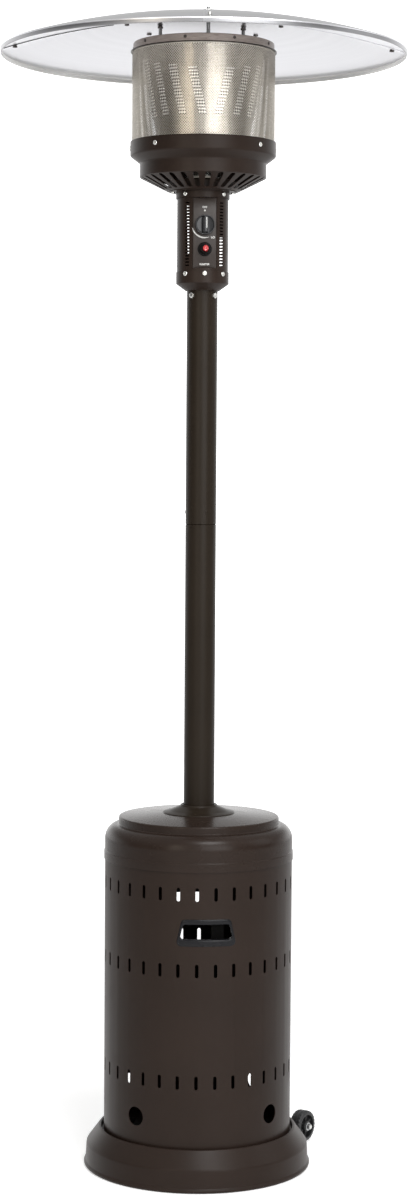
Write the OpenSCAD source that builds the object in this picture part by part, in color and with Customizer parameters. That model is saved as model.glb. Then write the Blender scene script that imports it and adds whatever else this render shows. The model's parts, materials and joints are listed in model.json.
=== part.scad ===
// Free-standing gas patio heater: weighted base with wheels, sliding tank housing,
// two-piece post, control head, burner with perforated emitter, domed reflector.
// Frame: millimetres, +Z up, origin at the centre of the base underside, front is -Y.

/* [Base] */
// Diameter over the rolled lip at the floor
base_d = 462; // [450:1:520]
// Height of the base rim above the floor
base_h = 79; // [76:1:95]
// Height of the crease between the base wall and its slope
base_wall_h = 45; // [35:1:55]
// Height of the deck that carries the gas bottle
deck_h = 69; // [62:1:70]
// Thickness of the base sheet
base_t = 1.5; // [1:0.1:2.5]
// Radius of the raised ring that centres the gas bottle
seat_r = 105; // [80:1:120]

/* [Wheels] */
// Wheel diameter
wheel_d = 65; // [50:1:68]
// Width of the wheel tread
wheel_w = 26; // [16:1:32]
// Height of the axle above the floor
axle_h = 35.5; // [35:0.5:40]
// Clearance between the wheels and the base lip
wheel_gap = 0.7; // [0.5:0.1:20]
// Distance between the middles of the two wheels
wheel_track = 196; // [180:1:220]
// Axle diameter
axle_d = 8; // [6:0.5:10]
// Direction of the wheel bracket, counted from +X
wheel_az = 50; // [20:1:80]

/* [Tank housing] */
// Outer diameter of the housing
housing_d = 381; // [360:1:392]
// Clear height between the deck and the top of the legs
bay_h = 571; // [520:1:640]
// Thickness of the housing sheet
housing_t = 1.2; // [0.8:0.1:2]
// Vent slots in each ring
slot_count = 32; // [20:2:40]
// Width of a vent slot
slot_w = 7; // [4:0.5:10]
// Length of a vent slot
slot_h = 27; // [15:1:40]
// Heights of the three slot rings above the deck, as shares of the bay height
slot_rows = [0.247, 0.638, 0.904]; // [0.1:0.001:0.95]
// Diameter of the four round vents near the bottom
vent_d = 38; // [20:1:50]
// Height of the round vents above the deck, as a share of the bay height
vent_share = 0.111; // [0.06:0.001:0.17]
// Thickness of the lid sheet
lid_t = 1.5; // [1:0.1:2]
// Height of the bead at the foot of the lid
bead_h = 18; // [10:1:25]
// Height of the straight skirt above the bead
skirt_h = 21.7; // [12:0.1:40]
// Height of the rounded shoulder of the lid
shoulder_h = 30; // [15:1:50]
// Width of the rounded shoulder of the lid
shoulder_w = 28; // [15:1:50]
// Height of the raised centre of the lid above the shoulder
neck_h = 16; // [8:1:30]
// Rise of the lid plate from its edge to the collar
plate_rise = 10; // [4:0.5:16]
// Foot radius of the collar round the post
collar_r = 73; // [55:1:90]
// Height of the collar round the post
collar_h = 15; // [8:1:30]

/* [Handle openings] */
// Width of the handle frame at its foot
handle_w = 121; // [90:1:140]
// Width of the handle frame at its head
handle_top_w = 97; // [70:1:120]
// Height of the handle frame
handle_h = 53.5; // [40:0.5:70]
// Height of the handle centre above the deck, as a share of the bay height
handle_share = 0.7715; // [0.73:0.0005:0.81]
// Width of the frame under the opening
handle_sill = 13; // [8:0.5:16]
// Width of the frame above the opening
handle_head = 10.5; // [6:0.5:14]
// Width of the frame beside the opening
handle_side = 5; // [4:0.5:8]

/* [Post] */
// Post diameter
post_d = 62; // [50:1:70]
// Wall of the post tubes
post_t = 1.5; // [1:0.1:3]
// Visible length of the lower tube, from the leg flange to the seam
lower_len = 664.6; // [500:0.1:800]
// Length of the upper tube, from the seam to the control head
upper_len = 468.4; // [350:0.1:650]
// Length of the drawn-in end that the upper tube sits on
spigot_len = 60; // [40:1:100]
// Width of the flat legs that carry the post
leg_w = 25; // [18:1:34]
// Thickness of the legs
leg_t = 4; // [3:0.5:6]

/* [Control head] */
// Diameter of the control shell
shell_d = 103; // [96:1:116]
// Wall of the control shell
shell_t = 1.2; // [0.8:0.1:2]
// Height of the cone between the post and the shell
cup_cone_h = 13; // [8:1:30]
// Height of the band at the foot of the shell
cup_band_h = 24; // [16:1:32]
// Height of the control shell from the cone to the burner
shell_h = 185; // [181:1:240]
// Height of the collar under the burner
collar_band_h = 15; // [10:1:17]
// Width of the flat control panel
panel_w = 47; // [42:1:52]
// Height of the flat control panel
panel_h = 138.6; // [130:0.1:140]
// Radius of the control knob
knob_r = 20; // [14:0.5:22]
// Depth of the knob skirt
knob_skirt = 7; // [5:0.5:9]
// How far the knob grip stands in front of the skirt
knob_grip = 13; // [9:0.5:18]
// Push travel of the knob
knob_travel = 4; // [2:0.5:4]
// Radius of the igniter bezel
bezel_r = 14; // [11:0.5:16]
// Radius of the guard round the igniter button
guard_r = 9.2; // [8.5:0.1:10]
// How far the guard stands in front of the panel
guard_h = 22; // [10:1:26]
// Radius of the igniter button
button_r = 5.7; // [4:0.1:7]
// Travel of the igniter button
button_travel = 5; // [3:0.5:5]
// Rows of vent slots in the control shell
shell_vent_rows = 21; // [6:1:21]

/* [Burner and emitter] */
// Diameter of the emitter screen
screen_d = 286; // [260:1:300]
// Visible height of the emitter screen with its foot in the bowl
screen_h = 203; // [150:1:260]
// Thickness of the screen sheet
screen_t = 1; // [0.6:0.1:1.5]
// Holes of the screen around its girth
screen_cols = 36; // [20:2:44]
// Rings of holes up the screen
screen_rows = 8; // [4:1:10]
// Diameter of one hole of the screen
screen_hole = 13; // [6:0.5:15]
// Radius of the flat foot of the burner bowl
bowl_foot_r = 72; // [68:1:80]
// Height of the slotted cone of the bowl
bowl_cone_h = 27; // [20:1:40]
// Radius of the neck of the bowl
bowl_neck_r = 127; // [115:1:132]
// Height of the neck of the bowl
bowl_neck_h = 29; // [15:1:45]
// Height of the band round the foot of the screen
bowl_band_h = 27.5; // [18:0.5:40]
// Air slots in the cone of the bowl
bowl_slots = 30; // [12:2:36]
// Width of an air slot
bowl_slot_w = 10.5; // [5:0.5:12]
// Foot radius of the flame cone
flame_foot_r = 88; // [80:1:95]
// Head radius of the flame cone
flame_head_r = 124; // [110:1:130]
// Height of the raised cap over the emitter
cap_h = 17; // [12:1:30]

/* [Reflector] */
// Reflector diameter
reflector_d = 814; // [700:2:900]
// Rise of the dome from its hem to its top
dome_rise = 64; // [50:1:90]
// Depth of the turned-down hem
hem_h = 10; // [6:1:16]
// Thickness of the reflector sheet
dome_t = 1; // [0.8:0.1:1.5]
// Clear height between the emitter cap and the dome top
reflector_gap = 49; // [40:1:80]
// Radius of the plate that joins the panels
hub_r = 176; // [165:1:200]
// Distance of the studs from the axis
stud_ring_r = 97; // [80:1:115]
// Stud diameter
stud_d = 8; // [6:0.5:10]

/* [Hidden] */
$fn = 96;

// Clearances: pieces fixed together, a running shaft, a sliding body, a bolt in its hole
fit = 0.2;
run = 0.05;
slide_gap = 1.2;
hole_gap = 0.15;
rest_gap = 0.3;
// How far a cutting shape passes the face that it cuts
over = 1;

// Directions counted from +X
front = -90;
leg_az = [278, 38, 158];
quarter_az = [front - 45, front + 45, front + 135, front - 135];
stud_az = [front, front + 120, front - 120];

// Base outline
base_r = base_d / 2;
lip_h = 6;
lip_r = 4.5;
lip_step = 3.2;
hem_w = 12;
wall_draft = 2;
wall_r = base_r - lip_step;
crease_r = 7;
rim_gap = 5;
rim_w = 5;
rim_round = 2.5;
seat_h = 3;
seat_w = 4;

// Housing and lid heights, from the deck up
housing_r = housing_d / 2;
housing_z = deck_h + rest_gap;
rim_r = housing_r + rim_gap;
leg_top = deck_h + bay_h;
lid_z = leg_top - 11;
housing_top = lid_z + bead_h - 2;
bead_r = housing_r + rest_gap + lid_t;
skirt_r = bead_r - lid_t;
shoulder_z = lid_z + bead_h + skirt_h;
cove = 3;
neck_r = skirt_r - shoulder_w;
plate_z = shoulder_z + shoulder_h + neck_h;
neck_round = 3;
handle_lap = 3;
handle_depth = 11;
handle_proud = 2;
handle_corner = 9;

// Legs and flange
leg_gap = 17;
leg_r = housing_r - housing_t - leg_gap;
foot_len = 34;
foot_bolt_r = leg_r - 19;
leg_bend = 8;
flange_t = 4;
flange_r = 80;
flange_z = leg_top;
socket_h = 52;
socket_t = 3;
leg_bolt_d = 6;
bolt_head_r = 5.2;
bolt_head_h = 4;

// Post
post_r = post_d / 2;
post_in = post_r - post_t;
post_z = flange_z + flange_t;
seam_z = post_z + lower_len;
post_top = seam_z + upper_len;
joint_screw_z = seam_z + 24;
joint_screw_az = [front + 17.5, front + 137.5, front - 102.5];
joint_screw_d = 4;
head_bolt_drop = 10;
grommet_r = 14;
grommet_bore = 16;
grommet_lip = 4;
collar_bore_r = post_r + slide_gap;
collar_wall = 2.5;
collar_t = 2;
lid_hole_r = collar_bore_r + collar_wall + over;

// Control head heights
shell_r = shell_d / 2;
cup_foot_r = post_r + 3;
cup_t = 1.3;
cup_r = shell_r + fit + cup_t;
cup_spigot = 44;
cup_z = post_top + cup_cone_h;
shell_z = cup_z + 4;
bowl_z = cup_z + shell_h;
collar_out = shell_r + fit + 2.3;
collar_flange_t = 1.5;
panel_z = cup_z + 30;
panel_t = 1.5;
panel_flange = 9;
panel_gap = 0.4;
panel_y = -sqrt(pow(shell_r, 2) - pow(panel_w / 2, 2)) - 0.7;
panel_back = panel_y + panel_t;
knob_z = panel_z + 85;
igniter_z = panel_z + 37;
shell_vent_pitch = 6.2;
shell_vent_w = 10;
shell_rear_vent_w = 28;
shell_vent_h = 3;
shell_vent_z = shell_z + 30;
shell_screw_d = 4;
pan_head_r = 4.6;
pan_head_h = 2.4;

// Valve, knob and igniter, along the push direction
valve_w = 30;
valve_h = 36;
valve_front = panel_back + 9;
valve_back = 22;
valve_boss_r = 9;
stem_r = 4;
stem_flat = 1;
stem_bore = stem_r + run;
stem_end = valve_front + 14;
knob_gap = knob_travel + 1;
knob_back = panel_y - knob_gap;
knob_face = knob_back - knob_skirt;
knob_front = knob_face - knob_grip;
grip_w = 13;
knob_bore_end = knob_front + 4;
stem_tip = knob_bore_end + knob_travel + 1;
inlet_y = 12;
inlet_r = 7.9;
inlet_len = 15;
inlet_hex_r = 11;
inlet_hex_h = 7;
bezel_h = 4.5;
bezel_neck_r = 8;
bezel_bore = button_r + rest_gap;
bezel_back = panel_back + 5;
piezo_r = 9;
piezo_back = -8;
button_front = panel_y - guard_h - button_travel - 1;
button_back = bezel_back - button_travel - 0.5;
button_pin_r = 3;
button_pin_len = 9;
tilt_w = 24;
tilt_h = 35;
tilt_y = 30;

// Burner heights
bowl_t = 1.5;
screen_r = screen_d / 2;
band_r = screen_r + 1.8 + bowl_t;
neck_z = bowl_z + bowl_cone_h;
flare_z = neck_z + bowl_neck_h;
flare_h = 14;
band_z = flare_z + flare_h;
band_top = band_z + bowl_band_h;
bowl_hole_r = shell_r - 5;
bowl_bolt_r = bowl_foot_r - 12;
floor_z = band_z + 1.5;
floor_t = 1.5;
floor_r = band_r - bowl_t - rest_gap;
screen_z = floor_z + floor_t;
cap_z = screen_z + screen_h;
cap_t = 1.2;
cap_flange_r = screen_r + 3;
cap_ring_r = screen_r - 2;
cap_top = cap_z + cap_h;
cap_screws_n = 9;
venturi_r = 36;
venturi_foot = bowl_z + 20;
burner_r = 62;
burner_h = 28;
burner_t = 1.2;
burner_foot_r = burner_r + 10;
pilot_r = burner_foot_r + 5.5;
pilot_deg = 12;
flame_cols = 18;
flame_rows = 9;
flame_t = 1;
flame_low = 57;
flame_span = 107;
jet_r = 6;
pipe_r = 4.5;
pipe_top = venturi_foot - 10;
floor_hole_r = venturi_r + 5;

// Reflector: the dome is part of a sphere
dome_r = reflector_d / 2;
dome_z = cap_top + reflector_gap;
sphere_r = (pow(dome_r, 2) + pow(dome_rise, 2)) / (2 * dome_rise);
hem_z = dome_z - dome_rise - hem_h;
seam_gap = 0.3;
hub_t = 1.5;
hub_drop = dome_t + seam_gap;
panel_in_r = hub_r - 45;
lap_deg = 3.2;
seam_split = 0.06;
rim_screw_r = dome_r - 30;
hub_screw_r = hub_r - 22;
hub_screw_deg = 45;
seam_screw_d = 5;
stud_foot = cap_top - cap_t - 8;
stud_r = stud_d / 2;
nut_h = 6;
nut_r = stud_r + 3.5;
wing_h = 14;

// Direction of a vector, and the same turned a quarter to the left
function unit(v) = v / norm(v);
function left_of(v) = [-v[1], v[0]];
function flat(p) = [p[0], p[1]];

// Points of the arc that rounds corner p between a and b, radius p[2]
function fillet(a, p, b, n = 6) =
    let (u = unit(flat(a) - flat(p)),
         v = unit(flat(b) - flat(p)),
         half = acos(u * v) / 2,
         c = flat(p) + unit(u + v) * p[2] / sin(half),
         s = flat(p) + u * p[2] / tan(half) - c,
         e = flat(p) + v * p[2] / tan(half) - c,
         a0 = atan2(s[1], s[0]),
         turn = atan2(s[0] * e[1] - s[1] * e[0], s * e))
    [for (i = [0:n]) c + p[2] * [cos(a0 + turn * i / n), sin(a0 + turn * i / n)]];

// An open path of [x, y, radius] corners with its corners rounded
function rounded(p) = let (last = len(p) - 1)
    [for (i = [0:last])
        each (i == 0 || i == last || p[i][2] == 0) ? [flat(p[i])] : fillet(p[i - 1], p[i], p[i + 1])];

// A closed outline of [x, y, radius] corners with its corners rounded
function rounded_loop(p) = let (n = len(p))
    [for (i = [0:n - 1]) each fillet(p[(i + n - 1) % n], p[i], p[(i + 1) % n])];

// Offset direction at point i of a path, long enough to keep the wall even at a bend
function miter(p, i) =
    let (a = i > 0 ? unit(p[i] - p[i - 1]) : unit(p[1] - p[0]),
         b = i < len(p) - 1 ? unit(p[i + 1] - p[i]) : a,
         m = unit(left_of(a) + left_of(b)))
    m / (m * left_of(b));

// Outline of a sheet of thickness t on the left of a path
function sheet(p, t) = concat(p, [for (i = [len(p) - 1:-1:0]) p[i] + t * miter(p, i)]);

// Quarter oval from its side to its top
function quarter_oval(c, rx, ry, n = 10) =
    [for (i = [0:n]) c + [rx * cos(90 * i / n), ry * sin(90 * i / n)]];

// Radius of the base wall at height z
function wall_at(z) = wall_r - wall_draft * (z - lip_h - lip_step) / (base_wall_h - lip_h - lip_step);

// Height of the lid plate at radius r
function plate_at(r) = plate_z + plate_rise * (neck_r - r) / (neck_r - lid_hole_r);

// Height of the top of the dome at radius r
function dome_at(r) = dome_z - sphere_r + sqrt(pow(sphere_r, 2) - pow(r, 2));

// A sheet spun round the post axis
module spun(p, t) {
    rotate_extrude() polygon(sheet(p, t));
}

// A tube round the post axis
module tube(r, t, z, h) {
    translate([0, 0, z]) difference() {
        cylinder(r = r, h = h);
        translate([0, 0, -over]) cylinder(r = r - t, h = h + 2 * over);
    }
}

// Children pointing outwards at radius r, height z
module radial(az, r, z) {
    rotate([0, 0, az]) translate([r, 0, z]) rotate([0, 90, 0]) children();
}

// A screw whose head sits on the origin and whose shank runs down
module screw(d, len, head_r, head_h) {
    cylinder(r = head_r, h = head_h);
    translate([0, 0, -len]) cylinder(d = d, h = len + head_h / 2);
}

// A six-sided nut on the origin
module nut(r, h, bore) {
    difference() {
        cylinder(r = r, h = h, $fn = 6);
        translate([0, 0, -over]) cylinder(r = bore, h = h + 2 * over);
    }
}

// An upright slot with round ends, cut inwards through a wall at radius r
module wall_slot(az, r, z, w, h) {
    depth = 8;
    radial(az, r - depth, z) linear_extrude(depth + over) {
        square([h - w, w], center = true);
        for (s = [-1, 1]) translate([s * (h - w) / 2, 0]) circle(d = w);
    }
}

module base_pan() {
    slope_top = rim_r + rim_w;
    path = rounded([
        [base_r - hem_w, 0, 0], [base_r, 0, lip_r], [base_r, lip_h, lip_r / 2],
        [wall_r, lip_h + lip_step, lip_r / 2], [wall_r - wall_draft, base_wall_h, crease_r],
        [slope_top, base_h, rim_round], [rim_r, base_h, rim_round], [rim_r, deck_h - base_t, 0]]);
    color("#3a302c") difference() {
        spun(path, base_t);
        for (s = [-1, 1]) radial(wheel_az + s * bracket_bolt_deg, wall_r - hem_w, axle_h)
            cylinder(d = leg_bolt_d + 2 * hole_gap, h = 2 * hem_w);
    }
}

module tank_deck() {
    path = [[rim_r - fit / 2, deck_h], [seat_r + seat_w + seat_h, deck_h], [seat_r + seat_w, deck_h + seat_h],
        [seat_r - seat_w, deck_h + seat_h], [seat_r - seat_w - seat_h, deck_h], [0, deck_h]];
    color("#3a302c") difference() {
        spun(path, base_t);
        for (az = leg_az) rotate([0, 0, az]) translate([foot_bolt_r, 0, deck_h - base_t - over])
            cylinder(d = leg_bolt_d + 2 * hole_gap, h = base_t + 2 * over);
    }
}

module support_leg(az) {
    path = rounded([[leg_r - foot_len, deck_h, 0], [leg_r, deck_h, leg_bend],
        [leg_r, leg_top, leg_bend], [leg_r - foot_len, leg_top, 0]]);
    color("#2e2826") rotate([0, 0, az]) difference() {
        rotate([90, 0, 0]) linear_extrude(leg_w, center = true) polygon(sheet(path, leg_t));
        translate([foot_bolt_r, 0, deck_h - over])
            cylinder(d = leg_bolt_d + 2 * hole_gap, h = bay_h + 2 * over);
    }
}

module leg_bolts() {
    color("silver") for (az = leg_az) rotate([0, 0, az]) translate([foot_bolt_r, 0, 0]) {
        translate([0, 0, deck_h + leg_t])
            screw(leg_bolt_d, leg_t + base_t + bolt_head_h, bolt_head_r, bolt_head_h);
        translate([0, 0, flange_z + flange_t])
            screw(leg_bolt_d, leg_t + flange_t + bolt_head_h, bolt_head_r, bolt_head_h);
    }
}

module post_flange() {
    arm_end = leg_r - over;
    color("#2e2826") difference() {
        union() {
            translate([0, 0, flange_z]) {
                cylinder(r = flange_r, h = flange_t);
                intersection() {
                    cylinder(r = arm_end, h = flange_t);
                    for (az = leg_az) rotate([0, 0, az])
                        translate([0, -leg_w / 2, 0]) cube([leg_r, leg_w, flange_t]);
                }
            }
            translate([0, 0, flange_z]) cylinder(r = post_r + fit + socket_t, h = socket_h);
        }
        translate([0, 0, post_z]) cylinder(r = post_r + fit, h = socket_h);
        translate([0, 0, flange_z - over]) cylinder(r = grommet_r, h = flange_t + 2 * over);
        for (az = leg_az) rotate([0, 0, az]) translate([foot_bolt_r, 0, flange_z - over])
            cylinder(d = leg_bolt_d + 2 * hole_gap, h = flange_t + 2 * over);
        for (az = stud_az) radial(az, post_in - over, post_z + socket_h / 2)
            cylinder(d = leg_bolt_d + 2 * hole_gap, h = 4 * socket_t);
    }
}

module hose_grommet() {
    lip_t = 2.5;
    color("#1b1b1b") difference() {
        union() {
            translate([0, 0, flange_z - lip_t]) cylinder(r = grommet_r + grommet_lip, h = lip_t - fit / 2);
            translate([0, 0, flange_z - lip_t]) cylinder(r = grommet_r - fit / 2, h = flange_t + 2 * lip_t);
            translate([0, 0, post_z + fit / 2]) cylinder(r = grommet_r + grommet_lip, h = lip_t - fit / 2);
        }
        translate([0, 0, flange_z - lip_t - over])
            cylinder(d = grommet_bore, h = flange_t + 2 * lip_t + 2 * over);
    }
}

module lower_post() {
    shoulder = 2;
    spigot_r = post_in - fit / 2;
    path = [[post_r, post_z], [post_r, seam_z - shoulder], [spigot_r, seam_z],
        [spigot_r, seam_z + spigot_len]];
    color("#332a27") difference() {
        spun(path, post_t);
        for (az = stud_az) radial(az, post_in - over, post_z + socket_h / 2)
            cylinder(d = leg_bolt_d + 2 * hole_gap, h = 4 * socket_t);
        for (az = joint_screw_az) radial(az, spigot_r - 2 * post_t, joint_screw_z)
            cylinder(d = joint_screw_d + 2 * hole_gap, h = 4 * post_t);
    }
}

module upper_post() {
    color("#332a27") difference() {
        tube(post_r, post_t, seam_z + fit, upper_len - fit);
        for (az = joint_screw_az) radial(az, post_in - over, joint_screw_z)
            cylinder(d = joint_screw_d + 2 * hole_gap, h = 4 * post_t);
        for (az = quarter_az) radial(az, post_in - over, post_top - head_bolt_drop)
            cylinder(d = leg_bolt_d + 2 * hole_gap, h = 4 * post_t);
    }
}

module post_base_bolts() {
    color("silver") for (az = stud_az) radial(az, post_r + fit + socket_t, post_z + socket_h / 2)
        screw(leg_bolt_d, socket_t + 2 * post_t, bolt_head_r, bolt_head_h);
}

module post_joint_screws() {
    color("#4a4340") for (az = joint_screw_az) radial(az, post_r, joint_screw_z)
        screw(joint_screw_d, 3 * post_t, joint_screw_d * 0.8, 1);
}

// Wheel bracket: a strap rolled to the base wall, with an ear at each end for the axle
bracket_t = 3;
bracket_h = 26;
bracket_deg = 15;
bracket_bolt_deg = 7;
bracket_in = wall_r + rest_gap;
bracket_z = axle_h - bracket_h / 2;
bracket_face = wall_at(axle_h) + 2 * rest_gap + bracket_t;
ear_y = bracket_in * sin(bracket_deg);
ear_x = sqrt(pow(bracket_in, 2) - pow(ear_y - bracket_t, 2)) + rest_gap;
axle_r = axle_d / 2;

module wheel_bracket() {
    bracket_line = [for (z = [bracket_z, bracket_z + bracket_h]) [wall_at(z) + rest_gap, z]];
    color("#2b2624") rotate([0, 0, wheel_az]) difference() {
        union() {
            rotate([0, 0, -bracket_deg])
                rotate_extrude(angle = 2 * bracket_deg) polygon(sheet(bracket_line, -bracket_t));
            for (s = [-1, 1]) translate([0, s * (ear_y - bracket_t / 2), 0]) {
                translate([ear_x, -bracket_t / 2, bracket_z])
                    cube([axle_reach - ear_x, bracket_t, bracket_h]);
                translate([axle_reach, bracket_t / 2, axle_h]) rotate([90, 0, 0])
                    cylinder(d = bracket_h, h = bracket_t);
            }
        }
        translate([axle_reach, ear_y + over, axle_h]) rotate([90, 0, 0])
            cylinder(r = axle_r + fit / 2, h = 2 * ear_y + 2 * over);
        for (s = [-1, 1]) radial(s * bracket_bolt_deg, bracket_in - bracket_t, axle_h)
            cylinder(d = leg_bolt_d + 2 * hole_gap, h = 3 * bracket_t);
    }
}

module bracket_bolts() {
    color("silver") for (s = [-1, 1]) radial(wheel_az + s * bracket_bolt_deg, bracket_face, axle_h)
        screw(leg_bolt_d, bracket_t + base_t + wall_draft + bolt_head_h, bolt_head_r, bolt_head_h);
}

// Wheel and axle places along the axle, from the middle outwards
wheel_in = wheel_track / 2 - wheel_w / 2;
wheel_out = wheel_track / 2 + wheel_w / 2;
axle_reach = sqrt(pow(base_r, 2) - pow(wheel_in, 2)) + wheel_d / 2 + wheel_gap;
hub_in = ear_y + rest_gap;
hub_out = wheel_out + 1;
axle_end = hub_out + 8;

// Children placed on the axle line with +Z along it
module on_axle() {
    rotate([0, 0, wheel_az]) translate([axle_reach, 0, axle_h]) rotate([-90, 0, 0]) children();
}

module axle() {
    color("silver") on_axle() translate([0, 0, -axle_end]) cylinder(r = axle_r, h = 2 * axle_end);
}

module axle_nuts() {
    washer_t = 1.5;
    nut_len = 5;
    color("silver") on_axle() for (s = [0, 1]) mirror([0, 0, s]) translate([0, 0, hub_out + rest_gap]) {
        difference() {
            union() {
                cylinder(r = 2 * axle_r, h = washer_t);
                cylinder(r = 1.6 * axle_r, h = washer_t + nut_len, $fn = 6);
            }
            translate([0, 0, -over]) cylinder(r = axle_r + run, h = washer_t + nut_len + 2 * over);
        }
    }
}

module wheel(side) {
    wheel_r = wheel_d / 2;
    tread_round = 5;
    rim_in = wheel_r - 9;
    boss_r = 11;
    web_in = wheel_in + wheel_w / 3;
    web_out = wheel_out - wheel_w / 3;
    section = concat(
        [[axle_r + run, hub_in], [boss_r, hub_in], [boss_r, web_in], [rim_in, web_in],
            [rim_in, wheel_in]],
        fillet([rim_in, wheel_in], [wheel_r, wheel_in, tread_round], [wheel_r, wheel_out]),
        fillet([wheel_r, wheel_in], [wheel_r, wheel_out, tread_round], [rim_in, wheel_out]),
        [[rim_in, wheel_out], [rim_in, web_out], [boss_r, web_out], [boss_r, hub_out],
            [axle_r + run, hub_out]]);
    color("#1d1d1f") on_axle() mirror([0, 0, side]) rotate_extrude() polygon(section);
}

// Outline of the handle frame, drawn in from its outer edge by the given widths
function handle_outline(side, foot, head, corner) =
    let (lean = (handle_w - handle_top_w) / 2 / handle_h,
         y0 = -handle_h / 2 + foot,
         y1 = handle_h / 2 - head,
         x0 = handle_w / 2 - side - foot * lean,
         x1 = handle_top_w / 2 - side + head * lean)
    rounded_loop([[-x0, y0, corner], [x0, y0, corner], [x1, y1, corner], [-x1, y1, corner]]);

module handle_prism(outline) {
    inside = housing_r / 2;
    translate([0, -inside, deck_h + handle_share * bay_h]) rotate([90, 0, 0])
        linear_extrude(housing_r + handle_depth - inside) polygon(outline);
}

module tank_housing() {
    pitch = 360 / slot_count;
    color("#3a302c") difference() {
        tube(housing_r, housing_t, housing_z, housing_top - housing_z);
        for (share = slot_rows, i = [0:slot_count - 1])
            wall_slot(front + (i + 0.5) * pitch, housing_r, deck_h + share * bay_h, slot_w, slot_h);
        for (az = quarter_az) radial(az, housing_r - vent_d / 2, deck_h + vent_share * bay_h)
            cylinder(d = vent_d, h = vent_d);
        for (turn = [0, 180]) rotate([0, 0, turn])
            handle_prism(handle_outline(handle_lap, handle_lap, handle_lap, handle_corner - handle_lap));
    }
}

module housing_lid() {
    path = concat(
        rounded([[bead_r, lid_z, 0], [bead_r, lid_z + bead_h - lid_t, 0],
            [skirt_r, lid_z + bead_h, 0]]),
        quarter_oval([neck_r + cove, shoulder_z], skirt_r - neck_r - cove, shoulder_h),
        rounded([[neck_r, shoulder_z + shoulder_h + cove, 0], [neck_r, plate_z, neck_round],
            [lid_hole_r, plate_at(lid_hole_r), 0]]));
    color("#3a302c") spun(path, lid_t);
}

module post_collar() {
    z0 = plate_at(collar_r) + fit;
    guide_r = collar_bore_r + collar_wall;
    guide_z = z0 - 14;
    section = [[collar_bore_r, guide_z], [guide_r, guide_z], [guide_r, z0 + collar_h - collar_t],
        [collar_r - collar_t, z0], [collar_r, z0], [guide_r + 4, z0 + collar_h],
        [collar_bore_r, z0 + collar_h + collar_t]];
    color("#332a27") rotate_extrude() polygon(section);
}

module handle_trim(turn) {
    outer = handle_outline(0, 0, 0, handle_corner);
    body = handle_outline(handle_lap + fit, handle_lap + fit, handle_lap + fit, handle_corner - handle_lap);
    opening = handle_outline(handle_side, handle_sill, handle_head, handle_corner - 2);
    color("#151518") rotate([0, 0, turn]) difference() {
        union() {
            intersection() {
                handle_prism(outer);
                tube(housing_r + handle_proud, handle_proud - fit / 2, deck_h, bay_h);
            }
            intersection() {
                handle_prism(body);
                tube(housing_r + over, handle_depth, deck_h, bay_h);
            }
        }
        handle_prism(opening);
    }
}

module head_cup() {
    spigot_r = post_in - fit / 2;
    path = [[spigot_r, post_top - cup_spigot], [spigot_r, post_top], [cup_foot_r, post_top],
        [cup_r - over, cup_z], [cup_r, cup_z + over], [cup_r, cup_z + cup_band_h]];
    color("#3a302c") difference() {
        spun(path, cup_t);
        for (az = quarter_az) radial(az, spigot_r - 2 * cup_t, post_top - head_bolt_drop)
            cylinder(d = leg_bolt_d + 2 * hole_gap, h = 4 * cup_t);
        for (az = cup_screw_az) radial(az, shell_r - 2 * shell_t, cup_screw_z)
            cylinder(d = shell_screw_d + 2 * hole_gap, h = 6 * cup_t);
    }
}

module head_bolts() {
    color("silver") for (az = quarter_az) radial(az, post_r, post_top - head_bolt_drop)
        screw(leg_bolt_d, 3 * post_t, bolt_head_r, bolt_head_h);
}

cup_screw_az = [front - 45, front, front + 45, front + 180];
cup_screw_z = cup_z + cup_band_h - 5;
collar_screw_z = bowl_z - collar_band_h / 2;
shell_vent_az = [front - 42, front + 42, 0, 180];
shell_rear_vent_az = [front - 138, front + 138];

module shell_vents(az, w) {
    for (i = [0:shell_vent_rows - 1]) rotate([0, 0, az])
        translate([shell_r / 2, -w / 2, shell_vent_z + i * shell_vent_pitch])
            cube([shell_r, w, shell_vent_h]);
}

module control_shell() {
    window = [panel_w + 2 * panel_gap, shell_r, panel_h + 2 * panel_gap];
    color("#3a302c") difference() {
        tube(shell_r, shell_t, shell_z, bowl_z - fit - shell_z);
        translate([-window[0] / 2, -window[1] - over, panel_z - panel_gap]) cube(window);
        for (az = shell_vent_az) shell_vents(az, shell_vent_w);
        for (az = shell_rear_vent_az) shell_vents(az, shell_rear_vent_w);
        for (az = cup_screw_az) radial(az, shell_r - 2 * shell_t, cup_screw_z)
            cylinder(d = shell_screw_d + 2 * hole_gap, h = 4 * shell_t);
        for (az = quarter_az) radial(az, shell_r - 2 * shell_t, collar_screw_z)
            cylinder(d = shell_screw_d + 2 * hole_gap, h = 4 * shell_t);
    }
}

module control_panel() {
    edge = panel_w / 2;
    color("#3a302c") difference() {
        translate([-edge, panel_y, panel_z]) cube([panel_w, panel_t + panel_flange, panel_h]);
        translate([-edge + panel_t, panel_back, panel_z - over])
            cube([panel_w - 2 * panel_t, panel_flange + over, panel_h + 2 * over]);
        translate([0, panel_back + over, knob_z]) rotate([90, 0, 0])
            cylinder(r = stem_r + over, h = panel_t + 2 * over);
        translate([0, panel_back + over, igniter_z]) rotate([90, 0, 0])
            cylinder(r = bezel_neck_r + fit, h = panel_t + 2 * over);
    }
}

module shell_collar() {
    lip_r = bowl_foot_r - 4;
    color("#3a302c") difference() {
        union() {
            tube(collar_out, collar_out - shell_r - fit, bowl_z - collar_band_h, collar_band_h - fit / 2);
            tube(lip_r, lip_r - shell_r - fit, bowl_z - collar_flange_t - fit / 2, collar_flange_t);
        }
        for (az = quarter_az) radial(az, shell_r - over, collar_screw_z)
            cylinder(d = shell_screw_d + 2 * hole_gap, h = 6 * shell_t);
        for (x = [-1, 1]) translate([x * bowl_bolt_r, 0, bowl_z - 2 * collar_flange_t])
            cylinder(d = shell_screw_d + 2 * hole_gap, h = 4 * collar_flange_t);
    }
}

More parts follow.
